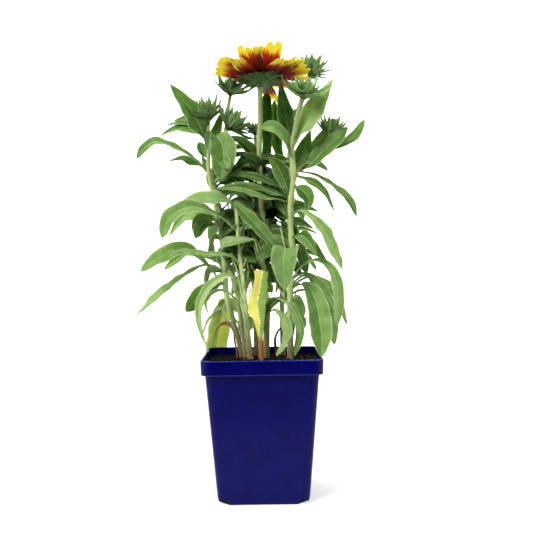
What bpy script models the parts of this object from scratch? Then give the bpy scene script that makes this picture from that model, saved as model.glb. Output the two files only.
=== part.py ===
"""A blanket flower (Gaillardia) growing in a square nursery pot.

Millimetres are used throughout and turned into metres when a mesh is made.
+Z is up, +X is the plant's right and -Y its front.  The origin is the middle
of the pot's underside.  Every stem is one solid with its own leaves and buds,
and it stands in a plain hole in the soil.
"""

import math
from collections import namedtuple

import bmesh
import bpy
from mathutils import Matrix, Vector, noise

MM = 0.001
GAP = 0.3                    # clearance between pieces that touch

# ---------------------------------------------------------------- the pot
POT_HEIGHT = 137.0
RIM_WIDTH = 115.0            # across the flats, over the band
BAND_HEIGHT = 14.0
BAND_PROUD = 4.0             # how far the band stands out from the wall
BASE_WIDTH = 87.0
POT_WALL = 1.5
CORNER_RADIUS = 7.5
NOTCH_WIDTH = 12.5           # the raised corners under the pot, along each side
NOTCH_HEIGHT = 5.0
NOTCH_START = (BASE_WIDTH - NOTCH_WIDTH) / math.sqrt(2.0)   # along the diagonal
NOTCH_SLOPE = 2.0
DRAIN_WIDTH = 5.0
DRAIN_LENGTH = 2.0

# ---------------------------------------------------------------- the soil
SOIL_LEVEL = 129.0
SOIL_MOUND = 3.5             # rise towards the middle
SOIL_LUMPS = 1.3
HOLE_DEPTH = 14.0
ROOT_BOTTOM = SOIL_LEVEL - HOLE_DEPTH + 1.0

# ---------------------------------------------------------------- the flower head
HEAD_CENTRE = Vector((2.5, -12.0, 410.0))
HEAD_TILT = 11.0             # degrees, away from the front
RAY_ROOT = 5.0
RAY_PLATE_RADIUS = 9.0
RAY_PLATE_THICKNESS = 1.6
DISC_RADIUS = 10.5
DISC_HEIGHT = 8.0
FLORETS = 28
FLORET_RADIUS = 1.4

# ---------------------------------------------------------------- blades
LEAF_THICKNESS = 0.75
LEAF_FOLD = 0.24             # how far the edges rise, as a share of the half width
EDGE_WAVE = 0.45
FOLDED_WIDTH = 16.0          # leaves at least this wide are folded along the midrib

# Outlines of a blade: width at the root, where it starts to widen, where it is
# widest, and two powers that draw the tip.  All are shares of length or width.
LANCE = (0.30, 0.00, 0.42, 1.5, 1.00)
SPOON = (0.18, 0.15, 0.70, 2.0, 0.70)
BROAD = (0.30, 0.00, 0.58, 2.2, 0.75)
LOBED = (0.26, 0.10, 0.62, 1.8, 0.85)
BLUNT = (0.30, 0.10, 0.58, 9.0, 0.20)
HEART = (0.60, 0.00, 0.42, 2.0, 0.80)
STRAP = (0.75, 0.00, 0.60, 5.0, 0.40)

# A leaf leaves its stem at a height, then runs through the points of its path.
# roll turns its face about its own midrib; facing, where given, is the plan
# direction (degrees, 0 = +X, 90 = +Y) that its upper side is square to.
Leaf = namedtuple("Leaf", "height path width roll form facing", defaults=(None,))

# An arched leaf is given by its plan direction and length alone.
Arch = namedtuple("Arch", "height azimuth length width lift droop roll", defaults=(0.75, 0.95, 15))

# A bud sits at the end of a short stalk, or of the stem itself when path is empty.
Bud = namedtuple("Bud", "height path axis size spread")

Stem = namedtuple("Stem", "path radius leaves arches buds colour", defaults=("stem",))

STEMS = {
    "left_stem": Stem(
        path=[(-21, 6, 138), (-35, 4, 194), (-37, 3, 229), (-42, 2, 271), (-48, 1, 301),
              (-51, 1, 320), (-51, 1, 341), (-51, 0, 372)],
        radius=(2.8, 1.6),
        leaves=[
            Leaf(341, [(-58, -3, 362), (-68, -6, 380), (-88, -8, 406)], 24, -78, LANCE),
            Leaf(318, [(-69, -5, 335), (-100, -12, 348), (-112, -14, 342), (-120, -14, 331)],
                 14, -45, SPOON),
            Leaf(322, [(-69, 5, 330), (-78, 7, 334), (-94, 9, 331)], 10, -50, LANCE),
            Leaf(351, [(-70, 8, 365), (-91, 12, 363), (-102, 14, 357)], 17, -55, LANCE),
            Leaf(359, [(-65, 8, 368), (-81, 14, 371), (-97, 18, 370)], 12, -45, LANCE),
            Leaf(365, [(-65, 12, 375), (-89, 22, 375)], 15, -62, LANCE),
            Leaf(331, [(-56, 3, 339), (-61, 6, 350)], 10, -65, BROAD),
            Leaf(316, [(-54, 6, 326), (-59, 10, 338)], 7, -50, LANCE),
            Leaf(338, [(-48, -7, 350), (-41, -12, 352), (-35, -16, 336), (-38, -17, 309)],
                 26, 0, BROAD, 270),
            Leaf(204, [(-58, -6, 231), (-75, -12, 243), (-101, -18, 233), (-117, -20, 220)],
                 16, -62, SPOON),
            Leaf(226, [(-62, 11, 236), (-76, 15, 238), (-100, 20, 222)], 13, -52, SPOON),
            Leaf(220, [(-55, 0, 226), (-78, 0, 215), (-103, 0, 197), (-127, 0, 175)],
                 12, -40, LOBED),
            Leaf(268, [(-61, 8, 280), (-77, 12, 276), (-94, 14, 255)], 20, -66, LANCE),
            Leaf(269, [(-56, -6, 272), (-66, -10, 258)], 15, -65, BROAD),
            Leaf(264, [(-56, -9, 267), (-64, -14, 252)], 13, -60, BROAD),
            Leaf(252, [(-48, 9, 251), (-47, 11, 228)], 19, -80, BROAD),
            Leaf(234, [(-38, -11, 245), (-23, -20, 249), (-5, -24, 250)], 12, 70, LANCE),
            Leaf(208, [(-55, -4, 200), (-75, -8, 180)], 18, -74, BROAD),
            Leaf(216, [(-50, 9, 221), (-58, 13, 207)], 12, -60, BROAD),
        ],
        arches=[],
        buds=[Bud(372, [], (-0.2, 0.0, 1.0), 1.6, 0.4)],
    ),
    "inner_stem": Stem(
        path=[(-17, -2, 139), (-23, 2, 190), (-33, 7, 229), (-39, 8, 276), (-45, 8, 302),
              (-46, 8, 332), (-35, 4, 357), (-30, 1, 386), (-28, -2, 396)],
        radius=(2.4, 1.5),
        leaves=[
            Leaf(342, [(-42, 6, 362), (-35, 5, 383)], 14, 72, LANCE),
            Leaf(346, [(-24, 6, 351), (-8, 3, 354)], 8, 45, LANCE),
            Leaf(343, [(-20, 14, 354), (-3, 17, 354)], 8, 45, LANCE),
            Leaf(338, [(-22, 14, 346), (-9, 16, 342)], 8, 60, LANCE),
        ],
        arches=[
            Arch(318, 98, 50, 12),
            Arch(292, 150, 56, 12),
            Arch(262, 110, 58, 13),
            Arch(236, 102, 56, 12),
        ],
        buds=[Bud(396, [], (0.2, -0.14, 1.0), 1.45, 0.65),
              Bud(354, [(-31, 2, 363)], (0.65, 0.1, 0.8), 1.65, 0.5)],
    ),
    "flower_stem": Stem(
        path=[(4, -2, 135), (5, -1, 187), (1, 0, 228), (2, 0, 275), (0, -1, 316), (0, -3, 340),
              (1, -6, 369), (2, -12, 404)],
        radius=(3.5, 2.2),
        leaves=[
            Leaf(329, [(-8, -2, 339), (-19, -4, 349), (-30, -5, 354)], 14, -60, LANCE),
            Leaf(322, [(-12, -7, 333), (-24, -10, 337)], 10, -55, LANCE),
            Leaf(311, [(-3, -7, 326), (-11, -9, 330), (-30, -8, 316)], 14, -60, LANCE),
            Leaf(234, [(16, 5, 250), (38, 9, 261), (54, 11, 258), (60, 12, 252)], 11, 45, LANCE),
            Leaf(187, [(12, -8, 193), (30, -20, 183), (37, -31, 162), (31, -40, 139.5)],
                 9, 50, SPOON),
            Leaf(175, [(12, -10, 181), (23, -22, 171), (25, -36, 156), (14, -44, 139.5)],
                 17, 65, SPOON),
            Leaf(240, [(-9, 6, 252), (-21, 8, 259)], 13, -62, LANCE),
            Leaf(258, [(12, 6, 276), (24, 6, 284)], 11, 55, LANCE),
        ],
        arches=[],
        buds=[],
    ),
    "right_stem": Stem(
        path=[(28, -6, 139), (28.5, -8, 187), (29, -9, 220), (31, -10, 244), (29, -12, 277),
              (33, -14, 308), (32, -18, 340), (35, -22, 355), (39, -28, 373), (43, -31, 385)],
        radius=(3.3, 2.0),
        leaves=[
            Leaf(292, [(17, -15, 302), (-10, -18, 312), (-31, -15, 313), (-47, -12, 303)],
                 10, -45, LANCE),
            Leaf(289, [(12, -17, 296), (-7, -21, 302), (-24, -24, 306)], 11, -55, LANCE),
            Leaf(286, [(2, -21, 294), (-19, -27, 300), (-44, -28, 299)], 13, -70, LANCE),
            Leaf(290, [(24, -11, 308), (18, -9, 322), (10, -8, 331)], 16, -68, BROAD),
            Leaf(326, [(26, -24, 343), (20, -26, 353), (12, -27, 358), (2, -27, 357)], 17, -62, BROAD),
            Leaf(343, [(27, -14, 367), (21, -20, 404)], 17, 0, LANCE, 82),
            Leaf(338, [(42, -22, 355), (53, -25, 373), (73, -26, 405)], 24, 72, LANCE),
            Leaf(314, [(41, -12, 330), (51, -10, 358)], 17, 68, LANCE),
            Leaf(302, [(40, -19, 298), (47, -21, 289), (45, -21, 275)], 15, 64, LANCE),
            Leaf(269, [(36, -18, 277), (46, -24, 274), (62, -30, 256), (78, -34, 219)],
                 12, 52, LOBED),
            Leaf(251, [(37, -5, 247), (41, -2, 231), (46, 0, 216)], 17, 74, BROAD),
            Leaf(253, [(38, -13, 254), (51, -15, 242), (66, -16, 226)], 13, 54, LANCE),
            Leaf(201, [(40, -14, 206), (50, -22, 197), (56, -36, 164), (56, -43.5, 138)],
                 24, 0, BROAD, 285),
            Leaf(206, [(44, -8, 214), (52, -10, 203), (67, -12, 176), (71, -14, 146)],
                 14, 57, SPOON),
            Leaf(208, [(39, -13, 223), (56, -17, 229), (70, -20, 218), (75, -22, 191),
                       (73, -22, 165)], 12, 58, SPOON),
            Leaf(210, [(42, -6, 216), (57, -3, 206), (68, 0, 189), (72, 1, 173)], 13, 55, LOBED),
            Leaf(204, [(51, 5, 212), (73, 12, 197), (87, 15, 163)], 15, 57, SPOON),
            Leaf(188, [(35, -14, 192), (39, -17, 171)], 13, 75, BROAD),
            Leaf(176, [(30, -13, 171), (31, -14, 156)], 7, 60, LANCE),
            Leaf(314, [(47, -14, 321), (61, -17, 334), (74, -19, 346), (86, -19, 358)],
                 17, 72, BROAD),
            Leaf(321, [(48, -12, 327), (59, -14, 345), (70, -16, 360)], 13, 72, BROAD),
            Leaf(319, [(58, -9, 334), (78, -8, 342), (93, -6, 350), (105, -4, 368)],
                 12, 52, SPOON),
            Leaf(318, [(56, -8, 313), (79, -4, 298), (90, -3, 287), (96, -2, 272)],
                 13, 50, SPOON),
            Leaf(314, [(55, -15, 303), (64, -16, 294), (73, -17, 275)], 11, 50, LANCE),
            Leaf(232, [(20, -22, 238), (10, -29, 247), (-5, -31, 264), (-25, -28, 286)],
                 17, -66, BROAD),
            Leaf(236, [(25, -25, 241), (22, -34, 233), (22, -37, 217), (23, -38, 201)],
                 25, 0, HEART, 270),
        ],
        arches=[],
        buds=[Bud(385, [], (0.2, -0.1, 1.0), 1.65, 0.8),
              Bud(306, [(39, -14, 320), (48, -12, 326), (59, -10, 337), (69, -8, 353)],
                  (0.3, 0.0, 0.9), 1.5, 0.4)],
    ),
    "young_shoot": Stem(
        path=[(-12, -12, 138), (-15, -12, 171), (-17, -12, 201), (-21, -12, 240),
              (-24, -10, 286)],
        radius=(2.8, 1.3),
        leaves=[
            Leaf(258, [(-35, -16, 270), (-55, -22, 280), (-69, -25, 282), (-87, -29, 272),
                       (-94, -31, 252)], 17, -60, SPOON),
            Leaf(280, [(-31, -12, 288), (-47, -17, 291), (-67, -19, 289), (-83, -20, 280)],
                 17, -62, LANCE),
            Leaf(224, [(-28, -16, 234), (-51, -20, 236), (-79, -24, 240), (-90, -25, 233)],
                 9, -38, LANCE),
            Leaf(197, [(-28, -17, 214), (-45, -22, 210), (-58, -27, 193), (-60, -30, 172),
                       (-51, -34, 143)], 9, -53, LANCE),
            Leaf(184, [(-36, -17, 200), (-48, -19, 198), (-54, -20, 190), (-50, -20, 173)],
                 6, -35, LANCE),
        ],
        arches=[],
        buds=[],
    ),
    "back_stem": Stem(
        path=[(21, 16, 138), (21, 19, 189), (22, 22, 251), (27, 24, 302), (31, 24, 344),
              (38, 27, 377), (46, 32, 404), (53, 37, 424)],
        radius=(2.7, 1.7),
        leaves=[
            Leaf(318, [(20, 24, 341), (16, 24, 366), (16, 23, 395)], 13, 0, BROAD, 90),
            Leaf(272, [(38, 26, 285), (62, 30, 280)], 14, 48, LANCE),
            Leaf(255, [(36, 26, 269), (56, 30, 262)], 15, 48, LANCE),
            Leaf(218, [(36, 26, 236), (56, 30, 236), (70, 33, 221)], 9, 40, LANCE),
        ],
        arches=[
            Arch(168, 62, 62, 14),
            Arch(188, 20, 70, 13),
            Arch(232, 48, 66, 13),
            Arch(250, 78, 62, 13),
            Arch(286, 66, 60, 13),
            Arch(326, 88, 54, 12),
        ],
        buds=[Bud(424, [], (0.3, 0.1, 1.0), 1.75, 0.6),
              Bud(346, [(34, 19, 366), (36, 16, 377)], (0.1, -0.2, 1.0), 0.6, 0.4)],
    ),
    "middle_stem": Stem(
        path=[(-6, 14, 138), (-7, 20, 228), (-4, 20, 302), (-4, 18, 336), (-4, 14, 359)],
        radius=(2.6, 1.4),
        leaves=[
            Leaf(322, [(6, 19, 334), (8, 17, 362), (8, 10, 399)], 11, 0, STRAP, 90),
            Leaf(306, [(-14, 18, 316), (-28, 18, 318), (-38, 18, 308)], 14, -65, LANCE),
            Leaf(288, [(5, 16, 300), (15, 14, 312), (18, 12, 326)], 14, 70, LANCE),
            Leaf(276, [(-14, 19, 288), (-25, 20, 290), (-30, 20, 280)], 14, -70, LANCE),
            Leaf(258, [(4, 17, 270), (13, 15, 282), (17, 14, 298)], 14, 75, LANCE),
            Leaf(244, [(-14, 17, 258), (-23, 17, 270), (-25, 16, 284)], 14, -75, LANCE),
            Leaf(226, [(2, 15, 240), (11, 13, 250), (22, 11, 246)], 14, 70, LANCE),
        ],
        arches=[
            Arch(166, 98, 62, 15),
            Arch(206, 116, 66, 14),
            Arch(288, 98, 58, 13),
            Arch(308, 128, 54, 12),
            Arch(330, 108, 48, 11),
        ],
        buds=[Bud(359, [], (0.0, 0.0, 1.0), 0.95, 0.35)],
    ),
    "back_shoot": Stem(
        path=[(-18, 26, 138), (-21, 28, 160), (-26, 30, 186)],
        radius=(2.0, 1.5),
        leaves=[
            Leaf(178, [(-36, 42, 192), (-43, 56, 177), (-50, 66, 142), (-60, 72, 97)],
                 24, 0, BROAD, 278),
            Leaf(160, [(-40, 36, 180), (-54, 42, 171), (-66, 46, 147)], 12, -30, SPOON),
        ],
        arches=[
            Arch(180, 128, 52, 13),
        ],
        buds=[],
    ),
    "yellow_leaf": Stem(
        path=[(-1, -16, 137), (-1, -15, 151)],
        radius=(3.2, 2.0),
        leaves=[
            Leaf(144, [(-2, -15, 161), (-3, -14, 176), (-4, -13, 189), (-1, -13, 204),
                       (1, -11, 220)], 17, 0, BLUNT, 90),
        ],
        arches=[],
        buds=[],
        colour="yellow",
    ),
    "dried_leaf": Stem(
        path=[(-26, 14, 137), (-28, 15, 148)],
        radius=(1.0, 0.9),
        leaves=[
            Leaf(146, [(-32, 18, 164), (-45, 22, 162), (-52, 24, 141)], 6, -40, LANCE),
        ],
        arches=[],
        buds=[],
        colour="dried",
    ),
    "dried_stalk": Stem(
        path=[(14, 5, 137), (13, 5, 150), (16, 6, 158), (19, 7, 161)],
        radius=(1.8, 1.0),
        leaves=[],
        arches=[],
        buds=[],
        colour="dried",
    ),
}

# The ray florets: plan direction in the head's own plane, rise above that
# plane, how much more they curl up along their length, length, width, and how far
# the tip is rolled about the ray's own midline.
Ray = namedtuple("Ray", "azimuth raise_by curl length width roll", defaults=(0,))
RAYS = [
    Ray(231, -2, 8, 38, 16, 10), Ray(253, 9, 10, 44, 23), Ray(283, 9, 11, 45, 26),
    Ray(305, -4, 8, 38, 17), Ray(325, -3, 10, 46, 14, -16), Ray(338, -3, 6, 48, 17, -26),
    Ray(354, -3, 4, 49, 15, -18), Ray(14, 12, 2, 40, 17), Ray(33, 5, -8, 40, 18),
    Ray(55, 10, -8, 36, 15), Ray(74, 1, -12, 45, 14), Ray(99, 16, 2, 40, 19),
    Ray(125, 18, 2, 40, 20), Ray(152, 13, 2, 38, 18), Ray(178, 9, 4, 43, 16),
    Ray(200, -4, 6, 47, 16, 22), Ray(214, 5, 6, 46, 16, 14),
]
RAY_TEETH = (0.96, 0.90, 1.0, 0.90, 0.96)


# ================================================================ small tools
def clear_scene():
    for thing in list(bpy.data.objects):
        bpy.data.objects.remove(thing, do_unlink=True)


def material(name, colour, roughness):
    """A plain finish of one colour."""
    made = bpy.data.materials.new(name)
    made.use_nodes = True
    shader = made.node_tree.nodes["Principled BSDF"]
    shader.inputs["Base Color"].default_value = (*colour, 1.0)
    shader.inputs["Roughness"].default_value = roughness
    made.diffuse_color = (*colour, 1.0)
    return made


def make_materials():
    return {
        "pot": material("blue_plastic", (0.009, 0.009, 0.13), 0.4),
        "soil": material("peat", (0.012, 0.009, 0.007), 0.95),
        "stem": material("leaf_green", (0.16, 0.30, 0.07), 0.6),
        "petal": material("petal_red", (0.35, 0.03, 0.01), 0.6),
        "disc": material("disc_brown", (0.12, 0.02, 0.01), 0.8),
        "yellow": material("yellow_leaf", (0.75, 0.65, 0.12), 0.6),
        "dried": material("dried_brown", (0.20, 0.09, 0.03), 0.8),
    }


def new_object(name, verts, faces, finish):
    """An object from points in millimetres, with its faces turned outwards."""
    mesh = bpy.data.meshes.new(name)
    mesh.from_pydata([Vector(v) * MM for v in verts], [], faces)
    work = bmesh.new()
    work.from_mesh(mesh)
    bmesh.ops.recalc_face_normals(work, faces=work.faces)
    work.to_mesh(mesh)
    work.free()
    mesh.materials.append(finish)
    made = bpy.data.objects.new(name, mesh)
    bpy.context.scene.collection.objects.link(made)
    return made


def applied(made):
    """Bake an object's modifiers into its mesh."""
    graph = bpy.context.evaluated_depsgraph_get()
    mesh = bpy.data.meshes.new_from_object(made.evaluated_get(graph))
    made.modifiers.clear()
    made.data = mesh
    return made


def keep_outer_shell(made):
    """Fill sealed hollows and drop loose scraps, by keeping the widest shell."""
    work = bmesh.new()
    work.from_mesh(made.data)
    waiting = set(work.verts)
    shells = []
    while waiting:
        shell = [waiting.pop()]
        for vert in shell:
            for edge in vert.link_edges:
                other = edge.other_vert(vert)
                if other in waiting:
                    waiting.remove(other)
                    shell.append(other)
        shells.append(shell)
    shells.sort(key=len)
    for shell in shells[:-1]:
        bmesh.ops.delete(work, geom=shell, context="VERTS")
    work.to_mesh(made.data)
    work.free()


def boolean(made, tools, operation, solver="EXACT"):
    """Join or cut with a whole collection at once; the tools are then removed."""
    group = bpy.data.collections.new("tools")
    bpy.context.scene.collection.children.link(group)
    for tool in tools:
        bpy.context.scene.collection.objects.unlink(tool)
        group.objects.link(tool)
    step = made.modifiers.new(operation.lower(), "BOOLEAN")
    step.operation = operation
    step.operand_type = "COLLECTION"
    step.collection = group
    step.solver = solver
    applied(made)
    for tool in list(group.objects):
        bpy.data.objects.remove(tool, do_unlink=True)
    bpy.data.collections.remove(group)
    if operation == "UNION":
        keep_outer_shell(made)
    return made


def smoothstep(value):
    value = min(1.0, max(0.0, value))
    return value * value * (3.0 - 2.0 * value)


class Curve:
    """A smooth curve through points, read by its share of length."""

    STEPS = 16

    def __init__(self, points):
        points = [Vector(p) for p in points]
        ends = [points[0] * 2 - points[1], *points, points[-1] * 2 - points[-2]]
        self.line = []
        for before, start, end, after in zip(ends, ends[1:], ends[2:], ends[3:]):
            for step in range(self.STEPS):
                self.line.append(self.between(before, start, end, after, step / self.STEPS))
        self.line.append(points[-1])
        self.along = [0.0]
        for one, two in zip(self.line, self.line[1:]):
            self.along.append(self.along[-1] + (two - one).length)
        self.length = self.along[-1]

    @staticmethod
    def between(before, start, end, after, t):
        out = (end - before) * 0.5
        into = (after - start) * 0.5
        reach = (end - start).length
        out = out.normalized() * reach
        into = into.normalized() * reach
        t2, t3 = t * t, t * t * t
        return (start * (2 * t3 - 3 * t2 + 1) + out * (t3 - 2 * t2 + t)
                + end * (3 * t2 - 2 * t3) + into * (t3 - t2))

    def at(self, share):
        target = min(1.0, max(0.0, share)) * self.length
        for number in range(1, len(self.along)):
            if self.along[number] >= target:
                break
        low, high = self.along[number - 1], self.along[number]
        part = (target - low) / max(1e-9, high - low)
        return self.line[number - 1].lerp(self.line[number], part)

    def direction(self, share):
        step = 0.02
        return (self.at(share + step) - self.at(share - step)).normalized()

    def at_height(self, height):
        for one, two in zip(self.line, self.line[1:]):
            if one.z <= height <= two.z:
                part = (height - one.z) / max(1e-9, two.z - one.z)
                return one.lerp(two, part)
        return self.line[-1] if height > self.line[-1].z else self.line[0]


def strip_faces(rows, count):
    """Closed skin over rings of points that all have the same count."""
    faces = []
    for row in range(rows - 1):
        for k in range(count):
            a = row * count + k
            b = row * count + (k + 1) % count
            faces.append((a, b, b + count, a + count))
    faces.append(tuple(range(count))[::-1])
    faces.append(tuple((rows - 1) * count + k for k in range(count)))
    return faces


def tube(name, curve, radii, sides, spacing, finish):
    """A round stem that tapers from the first radius to the second."""
    rows = max(2, round(curve.length / spacing) + 1)
    verts = []
    for row in range(rows):
        share = row / (rows - 1)
        centre = curve.at(share)
        ahead = curve.direction(share)
        side = ahead.cross(Vector((0.0, 1.0, 0.0))).normalized()
        up = side.cross(ahead)
        radius = radii[0] + (radii[1] - radii[0]) * share
        for k in range(sides):
            turn = 2.0 * math.pi * k / sides
            verts.append(centre + (side * math.cos(turn) + up * math.sin(turn)) * radius)
    return new_object(name, verts, strip_faces(rows, sides), finish)


# ================================================================ blades
def half_width(form, share):
    """Half the width of a blade of width 1, at a share of its length."""
    root, start, widest, power, fullness = form
    if share < widest:
        return 0.5 * (root + (1.0 - root) * smoothstep((share - start) / (widest - start)))
    past = (share - widest) / (1.0 - widest)
    return 0.5 * max(0.0, 1.0 - past ** power) ** fullness


def blade_stations(form, length):
    """Shares of the length where a blade gets a cross-section."""
    if form is LOBED:
        return (0.0, 0.25, 0.45, 0.56, 0.64, 0.78, 0.90, 1.0)
    if length < 34.0:
        return (0.0, 0.35, 0.72, 1.0)
    if length < 66.0:
        return (0.0, 0.26, 0.52, 0.80, 1.0)
    return (0.0, 0.18, 0.38, 0.58, 0.77, 0.91, 1.0)


def lobe(form, row, side):
    """The coarse teeth of a lobed blade, as a factor on its half width."""
    if form is not LOBED:
        return 1.0
    teeth = {(3, -1): 1.45, (4, -1): 0.80, (5, 1): 1.30, (6, -1): 1.35}
    return teeth.get((row, side), 1.0)


def blade(name, path, width, roll, form, finish, facing=None):
    """A leaf blade, thick enough to be a solid; a wide one is folded along its midrib."""
    curve = Curve(path)
    run = Vector(path[-1]) - Vector(path[0])
    if facing is None:
        plan = Vector((run.x, run.y, 0.0)).normalized()
    else:
        plan = Vector((math.cos(math.radians(facing)), math.sin(math.radians(facing)), 0.0))
    level_side = Vector((plan.y, -plan.x, 0.0))
    folded = width >= FOLDED_WIDTH
    shares = blade_stations(form, curve.length)
    verts = []
    for row, share in enumerate(shares):
        ahead = curve.direction(share)
        side = (level_side - ahead * level_side.dot(ahead)).normalized()
        turn = Matrix.Rotation(math.radians(roll) * smoothstep(share / 0.35), 3, ahead)
        side = turn @ side
        normal = side.cross(ahead)
        half = max(0.45, width * half_width(form, share))
        wave = EDGE_WAVE * (1.0 if row % 2 else -1.0) if 0.1 < share < 0.95 else 0.0
        centre = curve.at(share)
        lift = half * LEAF_FOLD if folded else 0.0
        left = centre - side * half * lobe(form, row, -1) + normal * (lift + wave)
        right = centre + side * half * lobe(form, row, 1) + normal * (lift - wave)
        upper = [left, centre, right] if folded else [left, right]
        verts += upper + [point - normal * LEAF_THICKNESS for point in reversed(upper)]
    return new_object(name, verts, blade_faces(len(shares), 3 if folded else 2), finish)


def blade_faces(rows, across):
    """Triangles over a blade, split alike on its two sides."""
    count = 2 * across
    faces = []
    for row in range(rows - 1):
        a = row * count
        b = a + count
        for k in range(across - 1):
            under = count - 1 - k
            faces.append((a + k, a + k + 1, b + k + 1))
            faces.append((a + k, b + k + 1, b + k))
            faces.append((a + under, b + under - 1, a + under - 1))
            faces.append((a + under, b + under, b + under - 1))
        for k in (across - 1, count - 1):
            other = (k + 1) % count
            faces.append((a + k, a + other, b + other))
            faces.append((a + k, b + other, b + k))
    for start, backwards in ((0, True), ((rows - 1) * count, False)):
        for k in range(across - 1):
            quad = (start + k, start + k + 1, start + count - 2 - k, start + count - 1 - k)
            faces.append(quad[::-1] if backwards else quad)
    return faces


def pointed(name, rings, tip, finish):
    """A solid through rings of points that ends in one point."""
    count = len(rings[0])
    verts = [point for ring in rings for point in ring] + [tip]
    faces = []
    for row in range(len(rings) - 1):
        for k in range(count):
            a = row * count + k
            b = row * count + (k + 1) % count
            faces.append((a, b, b + count, a + count))
    last = (len(rings) - 1) * count
    for k in range(count):
        faces.append((last + k, last + (k + 1) % count, len(verts) - 1))
    faces.append(tuple(range(count))[::-1])
    return new_object(name, verts, faces, finish)


def keeled_spike(name, path, width, finish):
    """A narrow pointed bract: flat above, with a keel below."""
    curve = Curve(path)
    ahead = curve.direction(0.5)
    side = ahead.cross(Vector((0.0, 0.0, 1.0)))
    if side.length < 0.2:
        side = ahead.cross(Vector((0.0, 1.0, 0.0)))
    side.normalize()
    rings = []
    for share, part in ((0.0, 0.9), (0.5, 1.0)):
        normal = side.cross(curve.direction(share)).normalized()
        centre = curve.at(share)
        half = 0.5 * width * part
        rings.append([centre - side * half + normal * 0.3, centre + side * half + normal * 0.3,
                      centre - normal * (0.4 + 0.9 * part)])
    return pointed(name, rings, curve.at(1.0), finish)


# ================================================================ flower parts
def axis_frame(origin, axis):
    """A matrix whose Z runs along the axis, with X kept level."""
    axis = Vector(axis).normalized()
    across = Vector((1.0, 0.0, 0.0))
    across = (across - axis * across.dot(axis)).normalized()
    back = axis.cross(across)
    frame = Matrix((across, back, axis)).transposed().to_4x4()
    frame.translation = Vector(origin)
    return frame


def turned(name, frame, profile, sides, finish):
    """A turned solid: rings from a list of (radius, height), in a frame."""
    verts = []
    for radius, height in profile:
        for k in range(sides):
            turn = 2.0 * math.pi * k / sides
            verts.append(frame @ Vector((radius * math.cos(turn), radius * math.sin(turn), height)))
    return new_object(name, verts, strip_faces(len(profile), sides), finish)


def bract_ring(frame, count, offset, start, height, length, rise, curl, width, finish, short=0.0):
    """A ring of pointed bracts that spread from a frame's axis; those in front may be shorter."""
    made = []
    for number in range(count):
        turn = 2.0 * math.pi * (number + offset) / count
        outward = Vector((math.cos(turn), math.sin(turn), 0.0))
        reach = length * (1.0 + 0.14 * math.sin(2.7 * number + 5.0 * offset))
        reach *= 1.0 - short * max(0.0, -outward.y)
        path = []
        angle = math.radians(rise)
        place = outward * start + Vector((0.0, 0.0, height))
        for _ in range(3):
            path.append(frame @ place)
            place = place + (outward * math.cos(angle)
                             + Vector((0.0, 0.0, math.sin(angle)))) * (reach / 2.0)
            angle += math.radians(curl)
        made.append(keeled_spike("bract", path, width, finish))
    return made


def flower_bud(base, axis, size, spread, finish):
    """A green bud: a domed core with three rows of pointed bracts."""
    frame = axis_frame(base, axis)
    profile = [(1.2, -2.0), (5.2, 1.4), (5.2, 5.0), (1.6, 8.4)]
    made = [turned("core", frame, [(r * size, h * size) for r, h in profile], 7, finish)]
    made += bract_ring(frame, 8, 0.0, 2.6 * size, 0.6 * size, 11.5 * size,
                       50.0 - 50.0 * spread, 12.0, 3.6 * size, finish)
    made += bract_ring(frame, 5, 0.5, 3.4 * size, 2.4 * size, 10.0 * size,
                       72.0 - 30.0 * spread, 10.0, 3.4 * size, finish)
    return made


def head_frame(height=0.0):
    tilt = math.radians(HEAD_TILT)
    axis = Vector((0.0, math.sin(tilt), math.cos(tilt)))
    return axis_frame(HEAD_CENTRE + axis * height, axis)


def involucre(finish):
    """The green cup under the rays, with its bracts."""
    frame = head_frame()
    top = -RAY_PLATE_THICKNESS / 2.0 - GAP
    profile = [(2.4, -8.5), (4.6, -6.6), (9.0, -3.8), (10.5, top - 0.6), (9.8, top)]
    made = [turned("cup", frame, profile, 14, finish)]
    made += bract_ring(frame, 14, 0.25, 7.0, -3.0, 17.5, -3.0, 1.0, 6.4, finish, 0.45)
    made += bract_ring(frame, 12, 0.0, 6.0, -4.4, 15.5, -9.0, 0.0, 6.0, finish, 0.5)
    return made


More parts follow.
